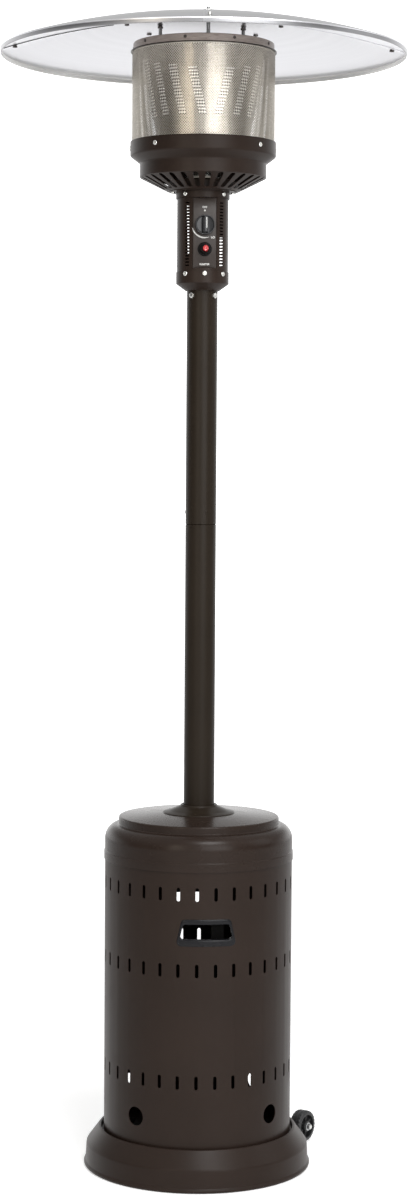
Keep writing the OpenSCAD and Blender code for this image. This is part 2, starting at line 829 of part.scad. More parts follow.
module shell_screws() {
    color("silver") {
        for (az = cup_screw_az) radial(az, cup_r, cup_screw_z)
            screw(shell_screw_d, cup_t + shell_t + over, pan_head_r, pan_head_h);
        for (az = quarter_az) radial(az, collar_out, collar_screw_z)
            screw(shell_screw_d, collar_out - shell_r + shell_t + over, pan_head_r, pan_head_h);
        for (x = [-1, 1]) translate([x * bowl_bolt_r, 0, bowl_z - collar_flange_t - fit / 2])
            rotate([180, 0, 0]) screw(shell_screw_d, collar_flange_t + bowl_t + over, shell_screw_d, 3);
    }
}

// Children on the push axis of the knob or the igniter, +Z pointing to the front
module facing(z) {
    translate([0, 0, z]) rotate([90, 0, 0]) children();
}

module gas_valve() {
    valve_z = knob_z - valve_h / 2;
    magnet_r = 9;
    magnet_len = 12;
    color("#b59a55") difference() {
        union() {
            translate([-valve_w / 2, valve_front, valve_z])
                cube([valve_w, valve_back - valve_front, valve_h]);
            facing(knob_z) translate([0, 0, -valve_front - over])
                cylinder(r = valve_boss_r, h = valve_front - panel_back + over);
            facing(knob_z) translate([0, 0, -valve_back - magnet_len])
                cylinder(r = magnet_r, h = magnet_len + over);
            translate([0, inlet_y, valve_z - inlet_hex_h])
                cylinder(r = inlet_hex_r, h = inlet_hex_h + over, $fn = 6);
            translate([0, inlet_y, valve_z - inlet_hex_h - inlet_len])
                cylinder(r = inlet_r, h = inlet_len + over);
        }
        facing(knob_z) translate([0, 0, -stem_end])
            cylinder(r = stem_bore, h = stem_end - panel_back + over);
        translate([0, inlet_y, valve_z - inlet_hex_h - inlet_len - over])
            cylinder(r = inlet_r - 3, h = inlet_len + inlet_hex_h + 2 * over);
    }
}

module valve_stem() {
    color("silver") facing(knob_z) difference() {
        translate([0, 0, -stem_end + rest_gap]) cylinder(r = stem_r, h = stem_end - rest_gap - stem_tip);
        translate([stem_r - stem_flat, -stem_r, -knob_back - knob_gap])
            cube([stem_r, 2 * stem_r, knob_back + knob_gap - stem_tip + over]);
    }
}

module control_knob() {
    edge_round = 2;
    skirt = concat([[0, -knob_back], [knob_r, -knob_back]],
        fillet([knob_r, -knob_back], [knob_r - 1, -knob_face, edge_round], [0, -knob_face]),
        [[0, -knob_face]]);
    color("#17171a") facing(knob_z) difference() {
        union() {
            rotate_extrude() polygon(skirt);
            intersection() {
                translate([-grip_w / 2, -knob_r, -knob_face - over])
                    cube([grip_w, 2 * knob_r, knob_grip + over]);
                translate([0, 0, -knob_face - over])
                    cylinder(r1 = knob_r - 1, r2 = knob_r - 4, h = knob_grip + over);
            }
        }
        difference() {
            translate([0, 0, -knob_back - over])
                cylinder(r = stem_r + run, h = knob_back - knob_bore_end + over);
            translate([stem_r - stem_flat + run, -stem_r - over, -knob_back - 2 * over])
                cube([stem_r, 2 * stem_r + 2 * over, knob_back - knob_bore_end + 3 * over]);
        }
    }
}

module igniter_bezel() {
    edge_round = 2.5;
    guard_round = 1;
    face = -panel_y + bezel_h;
    tip = -panel_y + guard_h;
    section = concat(
        [[bezel_bore, -bezel_back], [bezel_neck_r, -bezel_back], [bezel_neck_r, -panel_y + fit / 2],
            [bezel_r, -panel_y + fit / 2]],
        fillet([bezel_r, -panel_y], [bezel_r, face, edge_round], [guard_r, face]),
        [[guard_r, face]],
        fillet([guard_r, face], [guard_r, tip, guard_round], [bezel_bore, tip]),
        [[bezel_bore, tip]]);
    color("#101012") facing(igniter_z) rotate_extrude() polygon(section);
}

module igniter_button() {
    color("#c8161d") facing(igniter_z) {
        translate([0, 0, -button_back]) cylinder(r = button_r, h = button_back - button_front);
        translate([0, 0, -button_back - button_pin_len])
            cylinder(r = button_pin_r, h = button_pin_len + over);
    }
}

module piezo_igniter() {
    pin_room = button_pin_len + button_travel + over;
    color("#22262c") facing(igniter_z) difference() {
        translate([0, 0, -piezo_back]) cylinder(r = piezo_r, h = piezo_back - bezel_back - fit / 2);
        translate([0, 0, -button_back - pin_room])
            cylinder(r = button_pin_r + run, h = pin_room + button_travel);
    }
}

module tilt_switch() {
    color("#202020") intersection() {
        translate([-tilt_w / 2, tilt_y, igniter_z - tilt_h / 2]) cube([tilt_w, shell_r, tilt_h]);
        translate([0, 0, shell_z]) cylinder(r = shell_r - shell_t - fit, h = shell_h);
    }
}

module gas_pipe() {
    valve_top = knob_z + valve_h / 2 + fit / 2;
    pipe_nut_h = 8;
    color("#b8864b") difference() {
        union() {
            translate([0, 0, valve_top]) cylinder(r = pipe_r, h = pipe_top - valve_top);
            translate([0, 0, valve_top]) cylinder(r = inlet_hex_r, h = pipe_nut_h, $fn = 6);
            translate([0, 0, pipe_top]) cylinder(r = jet_r, h = venturi_foot - pipe_top);
        }
        translate([0, 0, valve_top + pipe_nut_h]) cylinder(r = pipe_r - 1, h = shell_h);
    }
}

module burner_bowl() {
    path = [[bowl_hole_r, bowl_z], [bowl_foot_r, bowl_z], [bowl_neck_r - over, neck_z],
        [bowl_neck_r, neck_z + over], [bowl_neck_r, flare_z], [band_r - over, band_z - over],
        [band_r, band_z], [band_r, band_top]];
    slot_in = bowl_foot_r + 10;
    slot_len = bowl_neck_r - 7 - slot_in;
    color("#3a302c") difference() {
        spun(path, bowl_t);
        for (i = [0:bowl_slots - 1]) rotate([0, 0, front + i * 360 / bowl_slots])
            translate([slot_in, 0, bowl_z - over]) linear_extrude(bowl_cone_h + 2 * over) {
                translate([0, -bowl_slot_w / 2]) square([slot_len, bowl_slot_w]);
                for (x = [0, slot_len]) translate([x, 0]) circle(d = bowl_slot_w);
            }
        for (az = bowl_screw_az) radial(az, band_r - 2 * bowl_t, band_z + bowl_band_h / 2)
            cylinder(d = shell_screw_d + 2 * hole_gap, h = 4 * bowl_t);
        for (x = [-1, 1]) translate([x * bowl_bolt_r, 0, bowl_z - over])
            cylinder(d = shell_screw_d + 2 * hole_gap, h = bowl_t + 2 * over);
    }
}

bowl_screw_az = concat(quarter_az, [0, 180]);

module bowl_screws() {
    reach = band_r - screen_r + screen_t + over;
    color("silver") for (az = bowl_screw_az) radial(az, band_r, band_z + bowl_band_h / 2)
        screw(shell_screw_d, reach, pan_head_r, pan_head_h);
}

module burner_floor() {
    color("#8f8a84") difference() {
        translate([0, 0, floor_z]) cylinder(r = floor_r, h = floor_t);
        translate([0, 0, floor_z - over]) cylinder(r = floor_hole_r, h = floor_t + 2 * over);
    }
}

module venturi_tube() {
    flange_w = 8;
    mouth = 4;
    path = [[venturi_r + mouth, venturi_foot + fit], [venturi_r, venturi_foot + 2 * mouth],
        [venturi_r, floor_z - burner_t], [floor_hole_r + flange_w, floor_z - burner_t]];
    color("#8f8a84") spun(path, burner_t);
}

module burner_head() {
    foot = screen_z;
    ports = 24;
    port_d = 4;
    path = rounded([[burner_foot_r, foot + burner_t, 0], [burner_r, foot + burner_t, 0],
        [burner_r, foot + burner_h, 6], [0, foot + burner_h, 0]]);
    color("#9a948c") difference() {
        spun(path, burner_t);
        for (i = [0:ports - 1]) radial(i * 360 / ports, burner_r - 3 * burner_t, foot + burner_h / 2)
            cylinder(d = port_d, h = 6 * burner_t);
    }
}

// Children on the burner floor beside the burner, turned round the axis by deg
module beside_burner(deg) {
    rotate([0, 0, deg]) translate([pilot_r, 0, screen_z + fit / 2]) children();
}

module pilot_burner() {
    tube_r = 4;
    hood_r = 6;
    hood_h = 12;
    height = 36;
    color("#b8864b") beside_burner(0) difference() {
        union() {
            cylinder(r = tube_r, h = height);
            translate([0, 0, height - hood_h]) cylinder(r = hood_r, h = hood_h);
        }
        translate([0, 0, over]) cylinder(r = tube_r - 1.5, h = height);
    }
}

module thermocouple() {
    clip_r = 3.5;
    clip_h = 14;
    tip_r = 2.2;
    height = 46;
    color("#b87333") beside_burner(pilot_deg) {
        cylinder(r = clip_r, h = clip_h);
        cylinder(r = tip_r, h = height);
    }
}

module spark_electrode() {
    sleeve_r = 4;
    sleeve_h = 24;
    wire_r = 1.2;
    height = 40;
    color("ivory") beside_burner(-pilot_deg) {
        cylinder(r = sleeve_r, h = sleeve_h);
        cylinder(r = wire_r, h = height);
    }
}

module emitter_screen() {
    margin = 26;
    step = (screen_h - bowl_band_h - margin) / (screen_rows - 1);
    first = band_top + margin / 2 - 2;
    pitch = 360 / screen_cols;
    color("#b3a58f") difference() {
        tube(screen_r, screen_t, screen_z, screen_h);
        for (row = [0:screen_rows - 1], i = [0:screen_cols - 1])
            radial((i + (row % 2) / 2) * pitch, screen_r - 2 * screen_t, first + row * step)
                cylinder(d = screen_hole, h = 3 * screen_t, $fn = 6);
        for (az = bowl_screw_az) radial(az, screen_r - 2 * screen_t, band_z + bowl_band_h / 2)
            cylinder(d = shell_screw_d + 2 * hole_gap, h = 4 * screen_t);
    }
}

module flame_cone() {
    top = cap_top - cap_t - fit;
    slot = [flame_head_r - flame_foot_r, 10, 4];
    step = flame_span / (flame_rows - 1);
    color("#c2b7a4") difference() {
        spun([[flame_foot_r, screen_z], [flame_head_r, top]], flame_t);
        for (row = [0:flame_rows - 1], i = [0:flame_cols - 1])
            rotate([0, 0, (i + 0.5) * 360 / flame_cols])
                translate([flame_foot_r, -slot[1] / 2, screen_z + flame_low + row * step]) cube(slot);
    }
}

cap_screw_z = cap_z + cap_h * 0.6;
cap_screw_az = [for (i = [0:cap_screws_n - 1]) front + (i + 0.5) * 360 / cap_screws_n];

module emitter_cap() {
    path = [[cap_flange_r, cap_z + cap_t], [cap_ring_r + over, cap_z + cap_t],
        [cap_ring_r, cap_z + 2 * cap_t], [cap_ring_r, cap_top - over], [cap_ring_r - over, cap_top],
        [0, cap_top]];
    color("#a89c8a") difference() {
        spun(path, cap_t);
        for (az = cap_screw_az) radial(az, cap_ring_r - 3 * cap_t, cap_screw_z)
            cylinder(d = shell_screw_d + 2 * hole_gap, h = 6 * cap_t);
        for (az = stud_az) rotate([0, 0, az]) translate([stud_ring_r, 0, cap_top - 2 * cap_t])
            cylinder(r = stud_r + hole_gap, h = 4 * cap_t);
    }
}

module cap_screws() {
    color("silver") for (az = cap_screw_az) radial(az, cap_ring_r, cap_screw_z)
        screw(shell_screw_d, 3 * cap_t, shell_screw_d * 0.8, 1.8);
}

// Heights on a stud: under and over the cap, under the hub, and its tip
washer_r = nut_r + 3;
hub_under = dome_at(stud_ring_r + nut_r) - hub_drop - hub_t - fit;
hub_over = dome_at(stud_ring_r - washer_r) - hub_drop + fit / 2;
stud_tip = hub_over + wing_h - 2;

module reflector_studs() {
    color("silver") for (az = stud_az) rotate([0, 0, az]) translate([stud_ring_r, 0, stud_foot])
        cylinder(r = stud_r, h = stud_tip - stud_foot);
}

module stud_nuts() {
    color("silver") for (az = stud_az) rotate([0, 0, az]) translate([stud_ring_r, 0, 0]) {
        for (z = [cap_top - cap_t - fit / 2 - nut_h, cap_top + fit / 2, hub_under - nut_h])
            translate([0, 0, z]) nut(nut_r, nut_h, stud_r + run);
    }
}

// Section of a sheet that follows the dome between two radii, its top lowered by drop
module dome_section(r0, r1, drop, t) {
    intersection() {
        translate([0, dome_z - sphere_r - drop]) difference() {
            circle(r = sphere_r, $fn = 720);
            circle(r = sphere_r - t, $fn = 720);
        }
        translate([r0, dome_z - 2 * dome_rise]) square([r1 - r0, 3 * dome_rise]);
    }
}

// Upright holes through the dome at radius r and the given directions
module dome_holes(directions, r, d) {
    for (az = directions) rotate([0, 0, az]) translate([r, 0, dome_at(r) - 4 * hub_drop])
        cylinder(d = d + 2 * hole_gap, h = 8 * hub_drop);
}

module reflector_hub() {
    color("#c9c9cc") difference() {
        rotate_extrude() dome_section(0, hub_r, hub_drop, hub_t);
        dome_holes(stud_az, stud_ring_r, stud_d);
        dome_holes(hub_screw_az, hub_screw_r, seam_screw_d);
    }
}

// One quarter of the dome, with a lowered lap that passes under the next quarter
seam_turn = -5;
seam_az = [for (i = [0:3]) front + seam_turn + 90 * i];
hub_screw_az = [for (az = seam_az, s = [0, 1]) az + lap_deg / 2 + s * hub_screw_deg];
rim_screw_az = [for (az = seam_az) az + lap_deg / 2];

module reflector_panel(az) {
    lap_in = hub_r + 4;
    lap_out = dome_r - dome_t - 2;
    lap_drop = dome_t + seam_gap;
    sweep = 90 - seam_split;
    color("#d4d4d8") difference() {
        rotate([0, 0, az]) {
            rotate_extrude(angle = sweep) {
                dome_section(panel_in_r, dome_r, 0, dome_t);
                translate([dome_r - dome_t, hem_z]) square([dome_t, hem_h + dome_t / 4]);
            }
            rotate([0, 0, sweep - lap_deg / 3]) rotate_extrude(angle = lap_deg / 3)
                dome_section(lap_in, lap_out, dome_t / 2, lap_drop + dome_t / 2);
            rotate([0, 0, sweep - lap_deg / 3]) rotate_extrude(angle = lap_deg * 4 / 3)
                dome_section(lap_in, lap_out, lap_drop, dome_t);
        }
        dome_holes(rim_screw_az, rim_screw_r, seam_screw_d);
        dome_holes(hub_screw_az, hub_screw_r, seam_screw_d);
    }
}

module seam_screws() {
    head_r = 4.5;
    head_h = 2.6;
    color("silver") for (set = [[rim_screw_az, rim_screw_r], [hub_screw_az, hub_screw_r]], az = set[0])
        rotate([0, 0, az]) translate([set[1], 0, dome_at(set[1] - head_r) + fit]) {
            screw(seam_screw_d, 4 * hub_drop, head_r, head_h);
        }
}

module wing_nuts() {
    hub_h = 7;
    wing_t = 3;
    wing_reach = 15;
    color("silver") for (az = stud_az) rotate([0, 0, az]) translate([stud_ring_r, 0, hub_over]) difference() {
        union() {
            cylinder(r = washer_r, h = 1.5);
            cylinder(r1 = nut_r, r2 = nut_r - 1.5, h = hub_h);
            for (turn = [0, 180]) rotate([0, 0, turn]) rotate([90, 0, 0])
                linear_extrude(wing_t, center = true)
                    polygon([[stud_r, 1.5], [nut_r, 2], [wing_reach, wing_h - 3],
                        [wing_reach - 2, wing_h], [nut_r, hub_h + 2], [stud_r, hub_h]]);
        }
        translate([0, 0, -over]) cylinder(r = stud_r + run, h = wing_h + 2 * over);
    }
}

base_pan();
tank_deck();
support_leg(leg_az[0]);  // support_leg_1
support_leg(leg_az[1]);  // support_leg_2
support_leg(leg_az[2]);  // support_leg_3
leg_bolts();
post_flange();
hose_grommet();
lower_post();
upper_post();
post_base_bolts();
post_joint_screws();
wheel_bracket();
bracket_bolts();
axle();
axle_nuts();
wheel(0);  // left_wheel
wheel(1);  // right_wheel
tank_housing();
housing_lid();
post_collar();
handle_trim(0);  // front_handle_trim
handle_trim(180);  // rear_handle_trim
head_cup();
head_bolts();
control_shell();
control_panel();
shell_collar();
shell_screws();
gas_valve();
valve_stem();
control_knob();
igniter_bezel();
igniter_button();
piezo_igniter();
tilt_switch();
gas_pipe();
burner_bowl();
bowl_screws();
burner_floor();
venturi_tube();
burner_head();
pilot_burner();
thermocouple();
spark_electrode();
emitter_screen();
flame_cone();
emitter_cap();
cap_screws();
reflector_studs();
stud_nuts();
reflector_hub();
reflector_panel(seam_az[0]);  // reflector_panel_1
reflector_panel(seam_az[1]);  // reflector_panel_2
reflector_panel(seam_az[2]);  // reflector_panel_3
reflector_panel(seam_az[3]);  // reflector_panel_4
seam_screws();
wing_nuts();
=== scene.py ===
# %% [markdown]
# # A gas patio heater, dressed from its frame
# The solids of the heater arrive as a fixed frame: every node already stands where it belongs, in metres,
# with +Z up and the control panel facing -Y. This notebook gives each node its finish, and rebuilds the
# pieces whose real surface is finer than a solid needs to be: the perforated screen, the louvred cone, the
# turned shells.

# %% Load the frame
import json
import math

import bmesh
import bpy
import numpy as np
from mathutils import Matrix, Vector


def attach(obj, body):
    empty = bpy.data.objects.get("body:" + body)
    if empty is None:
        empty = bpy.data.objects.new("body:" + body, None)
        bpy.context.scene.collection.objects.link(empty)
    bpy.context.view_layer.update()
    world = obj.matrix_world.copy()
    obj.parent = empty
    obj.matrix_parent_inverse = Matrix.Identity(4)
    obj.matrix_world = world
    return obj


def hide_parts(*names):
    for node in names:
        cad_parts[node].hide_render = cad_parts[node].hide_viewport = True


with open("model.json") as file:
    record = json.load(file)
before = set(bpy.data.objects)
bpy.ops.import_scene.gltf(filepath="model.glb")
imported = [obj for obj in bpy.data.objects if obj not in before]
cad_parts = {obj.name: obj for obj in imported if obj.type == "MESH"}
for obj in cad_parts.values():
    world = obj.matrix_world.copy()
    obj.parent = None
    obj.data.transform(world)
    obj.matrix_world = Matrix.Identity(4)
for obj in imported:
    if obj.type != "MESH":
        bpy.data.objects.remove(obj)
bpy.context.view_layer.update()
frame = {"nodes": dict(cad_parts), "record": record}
nodes = frame["nodes"]
scene = bpy.context.scene
MM = 0.001
UP = np.array([0.0, 0.0, 1.0])

# %% [markdown]
# ## The camera
# A tall object is pictured from its own middle height and from some way off, so that the post stays upright.
# The camera's place is written as height, distance and azimuth round the post. Its turn is built from three
# axes: forward is panned and pitched first, and then the picture is rolled a little about it.

# %% Camera
PHOTO_SIZE = (415, 1200)
FOCAL_PIXELS = 2483.8
SENSOR_MM = 36.0
EYE_HEIGHT, EYE_DISTANCE = 1.4521, 5.0247
AZIMUTH, PAN, PITCH, ROLL = np.radians([-5.0, 0.168, 3.389, 0.39])


def swung(a, b, angle):
    """Two axes turned in their own plane: a cos + b sin, and b cos - a sin."""
    return a * math.cos(angle) + b * math.sin(angle), b * math.cos(angle) - a * math.sin(angle)


def camera_axes():
    """Right, up and forward: pan turns forward about Z, pitch tips it down, roll turns the picture."""
    right = np.array([math.cos(AZIMUTH), math.sin(AZIMUTH), 0.0])
    ahead = np.array([-math.sin(AZIMUTH), math.cos(AZIMUTH), 0.0])
    ahead, right = swung(ahead, right, PAN)
    up, ahead = swung(UP, ahead, PITCH)
    right, up = swung(right, up, ROLL)
    return right, up, ahead


def linked(name, data):
    """An object of that name and data, put into the scene."""
    made = bpy.data.objects.new(name, data)
    scene.collection.objects.link(made)
    return made


camera_data = bpy.data.cameras.new("portrait_camera")
camera_data.sensor_width = SENSOR_MM
camera_data.lens = FOCAL_PIXELS * SENSOR_MM / max(PHOTO_SIZE)
right, up, ahead = camera_axes()
eye = (EYE_DISTANCE * math.sin(AZIMUTH), -EYE_DISTANCE * math.cos(AZIMUTH), EYE_HEIGHT)
scene.camera = linked("portrait_camera", camera_data)
scene.camera.matrix_world = Matrix(np.vstack([np.column_stack([right, up, -ahead, eye]), [0, 0, 0, 1]]))
print("camera: lens %.2f mm" % camera_data.lens)

# %% [markdown]
# ## Shader nodes in a few words
# A material is a small graph. Writing each node by hand takes many lines, so one helper adds a node and fills
# its sockets: a number is set on the socket, and another node's output is linked to it.

# %% Node helpers


def empty_tree(owner):
    """The node tree of a material or world, with nothing in it yet."""
    owner.use_nodes = True
    owner.node_tree.nodes.clear()
    return owner.node_tree


def add(tree, kind, settings=None, **inputs):
    """One shader node. Inputs go by socket name with _ for a space, or by place as s0, s1 and so on."""
    made = tree.nodes.new("ShaderNode" + kind)
    for key, value in (settings or {}).items():
        setattr(made, key, value)
    for key, value in inputs.items():
        socket = made.inputs[int(key[1:]) if key[1:].isdigit() else key.replace("_", " ")]
        if isinstance(value, bpy.types.NodeSocket):
            tree.links.new(value, socket)
        else:
            socket.default_value = value
    return made


def noise(tree, vector, scale, detail=2.0):
    """Noise between 0 and 1, its cells about 1/scale metres wide."""
    return add(tree, "TexNoise", Vector=vector, Scale=scale, Detail=detail).outputs["Fac"]


def spread(tree, value, low, high, to_low=0.0, to_high=1.0):
    """A value between low and high, stretched to lie between to_low and to_high."""
    return add(tree, "MapRange", s0=value, s1=low, s2=high, s3=to_low, s4=to_high).outputs[0]


def mix(tree, factor, a, b):
    """Colour a where the factor is 0, colour b where it is 1."""
    return add(tree, "Mix", {"data_type": "RGBA"}, s0=factor, s6=a, s7=b).outputs[2]


def math_node(tree, operation, *values):
    """One sum on one to three values."""
    given = {"s%d" % place: value for place, value in enumerate(values)}
    return add(tree, "Math", {"operation": operation}, **given).outputs[0]


def vector_node(tree, operation, first, second=(0, 0, 0), result="Vector"):
    """One sum on vectors."""
    return add(tree, "VectorMath", {"operation": operation}, s0=first, s1=second).outputs[result]


def own_place(tree):
    """The piece's own coordinates."""
    return add(tree, "TexCoord").outputs["Object"]


def parted(tree, vector):
    """A vector as its three numbers."""
    return add(tree, "SeparateXYZ", Vector=vector).outputs


# %% [markdown]
# ## Effects that several finishes share
# Powder coat has a fine orange-peel texture and is never quite even from one end of a sheet to the other.
# Rolled and drawn metal has streaks along one direction. Turned metal has rings round the axis. Handled and
# weathered surfaces have soft smudges where the gloss is lower. Each is one group with its own inputs: a
# function builds its inside and says what it puts out.

# %% Effect builder


def effect(name, inputs, outputs, build):
    """A node group with float inputs and outputs; build(tree, inputs) gives what each output reads."""
    tree = bpy.data.node_groups.new(name, "ShaderNodeTree")
    for label, value in inputs.items():
        tree.interface.new_socket(label, in_out="INPUT", socket_type="NodeSocketFloat").default_value = value
    for label in outputs:
        tree.interface.new_socket(label, in_out="OUTPUT", socket_type="NodeSocketFloat")
    ends = tree.nodes.new("NodeGroupOutput").inputs
    for label, value in zip(outputs, build(tree, tree.nodes.new("NodeGroupInput").outputs)):
        tree.links.new(value, ends[label])
    return tree


# %% Effects
NOISE_SPAN = (0.3, 0.7)


def powder(tree, given):
    """A slow mottle over the whole sheet, and a fine peel for the bump."""
    place = own_place(tree)
    return noise(tree, place, 7.0, 4.0), noise(tree, place, given["Grain"], 3.0)


def streaks(tree, given):
    """Noise on coordinates that are stretched along each axis by a number of its own."""
    stretch = add(tree, "CombineXYZ", X=given["X"], Y=given["Y"], Z=given["Z"]).outputs[0]
    drawn = noise(tree, vector_node(tree, "MULTIPLY", own_place(tree), stretch), 1.0, 4.0)
    return spread(tree, drawn, *NOISE_SPAN), drawn


def rings(tree, given):
    """Noise of one dimension, the distance from the axis."""
    x, y, _ = parted(tree, own_place(tree))
    flat = add(tree, "CombineXYZ", X=x, Y=y, Z=0.0).outputs[0]
    radius = vector_node(tree, "LENGTH", flat, result="Value")
    tracks = add(tree, "TexNoise", {"noise_dimensions": "1D"}, W=radius, Scale=given["Rings"], Detail=3.0)
    return [spread(tree, tracks.outputs["Fac"], *NOISE_SPAN)]


def clouds(tree, given):
    """Soft noise that starts at the value of Cover and is full at 0.2 more."""
    full = math_node(tree, "ADD", given["Cover"], 0.2)
    return [spread(tree, noise(tree, own_place(tree), given["Size"], 5.0), given["Cover"], full)]


powder_grain = effect("powder_grain", {"Grain": 900.0}, ["Mottle", "Height"], powder)
drawn_streaks = effect("drawn_streaks", {"X": 60.0, "Y": 60.0, "Z": 900.0}, ["Streak", "Height"], streaks)
turned_rings = effect("turned_rings", {"Rings": 500.0}, ["Ring"], rings)
smudges = effect("smudges", {"Size": 18.0, "Cover": 0.55}, ["Smudge"], clouds)
print("effects:", [g.name for g in bpy.data.node_groups])

# %% [markdown]
# ## The finishes
# Every finish is a Principled shader fed by these effects. Colours are written in linear light. The paint is
# a dark bronze with a low, soft gloss: seen flat on it is brown, and along its edges it picks up the pale
# room. A row of the tables below gives a dark and a light colour, the lowest and the highest roughness, the
# strength of the bump and the fineness of the grain, and then the specular level and the clear coat.

# %% Finish builder
BUMP_DEPTH = 0.0002
coats = {}


def place_group(tree, group, **values):
    """A shared effect placed in a material with its own numbers."""
    made = tree.nodes.new("ShaderNodeGroup")
    made.node_tree = group
    for key, value in values.items():
        made.inputs[key].default_value = value
    return made.outputs


def finish(name, dark, light, rough, bump=0.0, grain=900.0, specular=0.5, coat=0.0, metallic=0.0,
           pattern=None, smudge=(18.0, 0.55)):
    """A Principled finish: two colours mix by the pattern, and bump follows the grain.

    pattern is (group, values, mask output). Roughness runs between two values, halfway with the mask and
    halfway with the smudges.
    """
    coats[name] = bpy.data.materials.new(name)
    tree = empty_tree(coats[name])
    group, values, mask = pattern or (powder_grain, {"Grain": grain}, "Mottle")
    base = place_group(tree, group, **values)
    soil = place_group(tree, smudges, Size=smudge[0], Cover=smudge[1])["Smudge"]
    wear = math_node(tree, "MULTIPLY_ADD", soil, 0.5, math_node(tree, "MULTIPLY", base[mask], 0.5))
    shader = add(tree, "BsdfPrincipled", Base_Color=mix(tree, base[mask], (*dark, 1), (*light, 1)),
                 Roughness=spread(tree, wear, 0.0, 1.0, *rough), Metallic=metallic,
                 Specular_IOR_Level=specular, Coat_Weight=coat)
    if bump:
        raised = add(tree, "Bump", Height=base["Height"], Strength=bump, Distance=BUMP_DEPTH)
        tree.links.new(raised.outputs[0], shader.inputs["Normal"])
    add(tree, "OutputMaterial", Surface=shader.outputs[0])


def recolour(name, mask, colour):
    """Another base colour laid over a finish where the mask, an output in its own tree, is 1."""
    tree = coats[name].node_tree
    shader = next(node for node in tree.nodes if node.type == "BSDF_PRINCIPLED")
    plain = shader.inputs["Base Color"].links[0].from_socket
    tree.links.new(mix(tree, mask, plain, (*colour, 1)), shader.inputs["Base Color"])
    return shader


# %% Paints, plastics, rubber, ceramic and print
PAINTS_AND_PLASTICS = {
    "bronze_powder": ((0.0195, 0.0125, 0.0095), (0.029, 0.019, 0.0148), (0.34, 0.46), 0.25, 1100.0, 0.13),
    "lid_powder": ((0.0195, 0.0125, 0.0095), (0.029, 0.019, 0.0148), (0.25, 0.33), 0.15, 1100.0, 0.15),
    "post_powder": ((0.0145, 0.0102, 0.0066), (0.021, 0.0150, 0.0098), (0.34, 0.46), 0.25, 1100.0, 0.13),
    "panel_powder": ((0.029, 0.0215, 0.0185), (0.04, 0.0305, 0.0265), (0.36, 0.46), 0.2, 1100.0, 0.3),
    "black_paint": ((0.0025, 0.0023, 0.0022), (0.0045, 0.0042, 0.004), (0.5, 0.65), 0.3, 900.0, 0.03),
    "moulded_black": ((0.010, 0.010, 0.012), (0.017, 0.017, 0.019), (0.3, 0.48), 0.2, 1600.0),
    "handle_black": ((0.006, 0.006, 0.0072), (0.011, 0.011, 0.0128), (0.22, 0.34), 0.1, 1600.0, 0.17),
    "knob_black": ((0.005, 0.005, 0.007), (0.01, 0.01, 0.013), (0.12, 0.24), 0.04, 700.0, 0.32, 0.15),
    "guard_black": ((0.0035, 0.0032, 0.0032), (0.006, 0.0056, 0.0056), (0.4, 0.55), 0.2, 1600.0, 0.08),
    "wheel_black": ((0.010, 0.010, 0.011), (0.02, 0.02, 0.021), (0.4, 0.62), 0.3),
    "soft_rubber": ((0.012, 0.012, 0.012), (0.022, 0.021, 0.02), (0.6, 0.8), 0.3),
    "button_red": ((0.42, 0.008, 0.012), (0.56, 0.016, 0.02), (0.16, 0.28), 0.05, 700.0, 0.5, 0.3),
    "glazed_ceramic": ((0.7, 0.68, 0.62), (0.82, 0.8, 0.75), (0.12, 0.24), 0.05),
    "white_print": ((0.66, 0.66, 0.64), (0.8, 0.8, 0.78), (0.4, 0.55), 0.1),
}
for name, row in PAINTS_AND_PLASTICS.items():
    finish(name, *row)
print("paints and plastics:", *PAINTS_AND_PLASTICS)

# %% Bare metals
METALS = {
    "zinc_plate": ((0.58, 0.58, 0.56), (0.78, 0.78, 0.75), (0.18, 0.36), 0.12, 500.0),
    "burner_steel": ((0.36, 0.33, 0.3), (0.5, 0.47, 0.43), (0.3, 0.45), 0.1),
    "stud_steel": ((0.38, 0.385, 0.39), (0.52, 0.525, 0.53), (0.28, 0.44), 0.1, 600.0),
    "dark_steel": ((0.05, 0.043, 0.04), (0.1, 0.09, 0.085), (0.3, 0.45), 0.1, 600.0),
    "brass": ((0.5, 0.34, 0.12), (0.66, 0.47, 0.2), (0.24, 0.4), 0.1, 400.0),
    "copper": ((0.5, 0.23, 0.12), (0.64, 0.33, 0.2), (0.24, 0.4), 0.1, 400.0),
}
for name, row in METALS.items():
    finish(name, *row, metallic=1.0)
# The last column of a drawn sheet stretches its streaks along X, Y and Z.
DRAWN_SHEETS = {
    "screen_steel": ((0.46, 0.425, 0.37), (0.6, 0.56, 0.495), (0.28, 0.4), 0.08, (40.0, 40.0, 700.0)),
    "cone_steel": ((0.26, 0.237, 0.205), (0.4, 0.37, 0.325), (0.16, 0.28), 0.08, (60.0, 60.0, 25.0)),
    "cap_steel": ((0.17, 0.143, 0.125), (0.27, 0.236, 0.212), (0.26, 0.42), 0.1, (50.0, 50.0, 900.0)),
}
for name, (*row, stretch) in DRAWN_SHEETS.items():
    finish(name, *row, metallic=1.0, pattern=(drawn_streaks, dict(zip("XYZ", stretch)), "Streak"))
print("metals:", *METALS, *DRAWN_SHEETS)
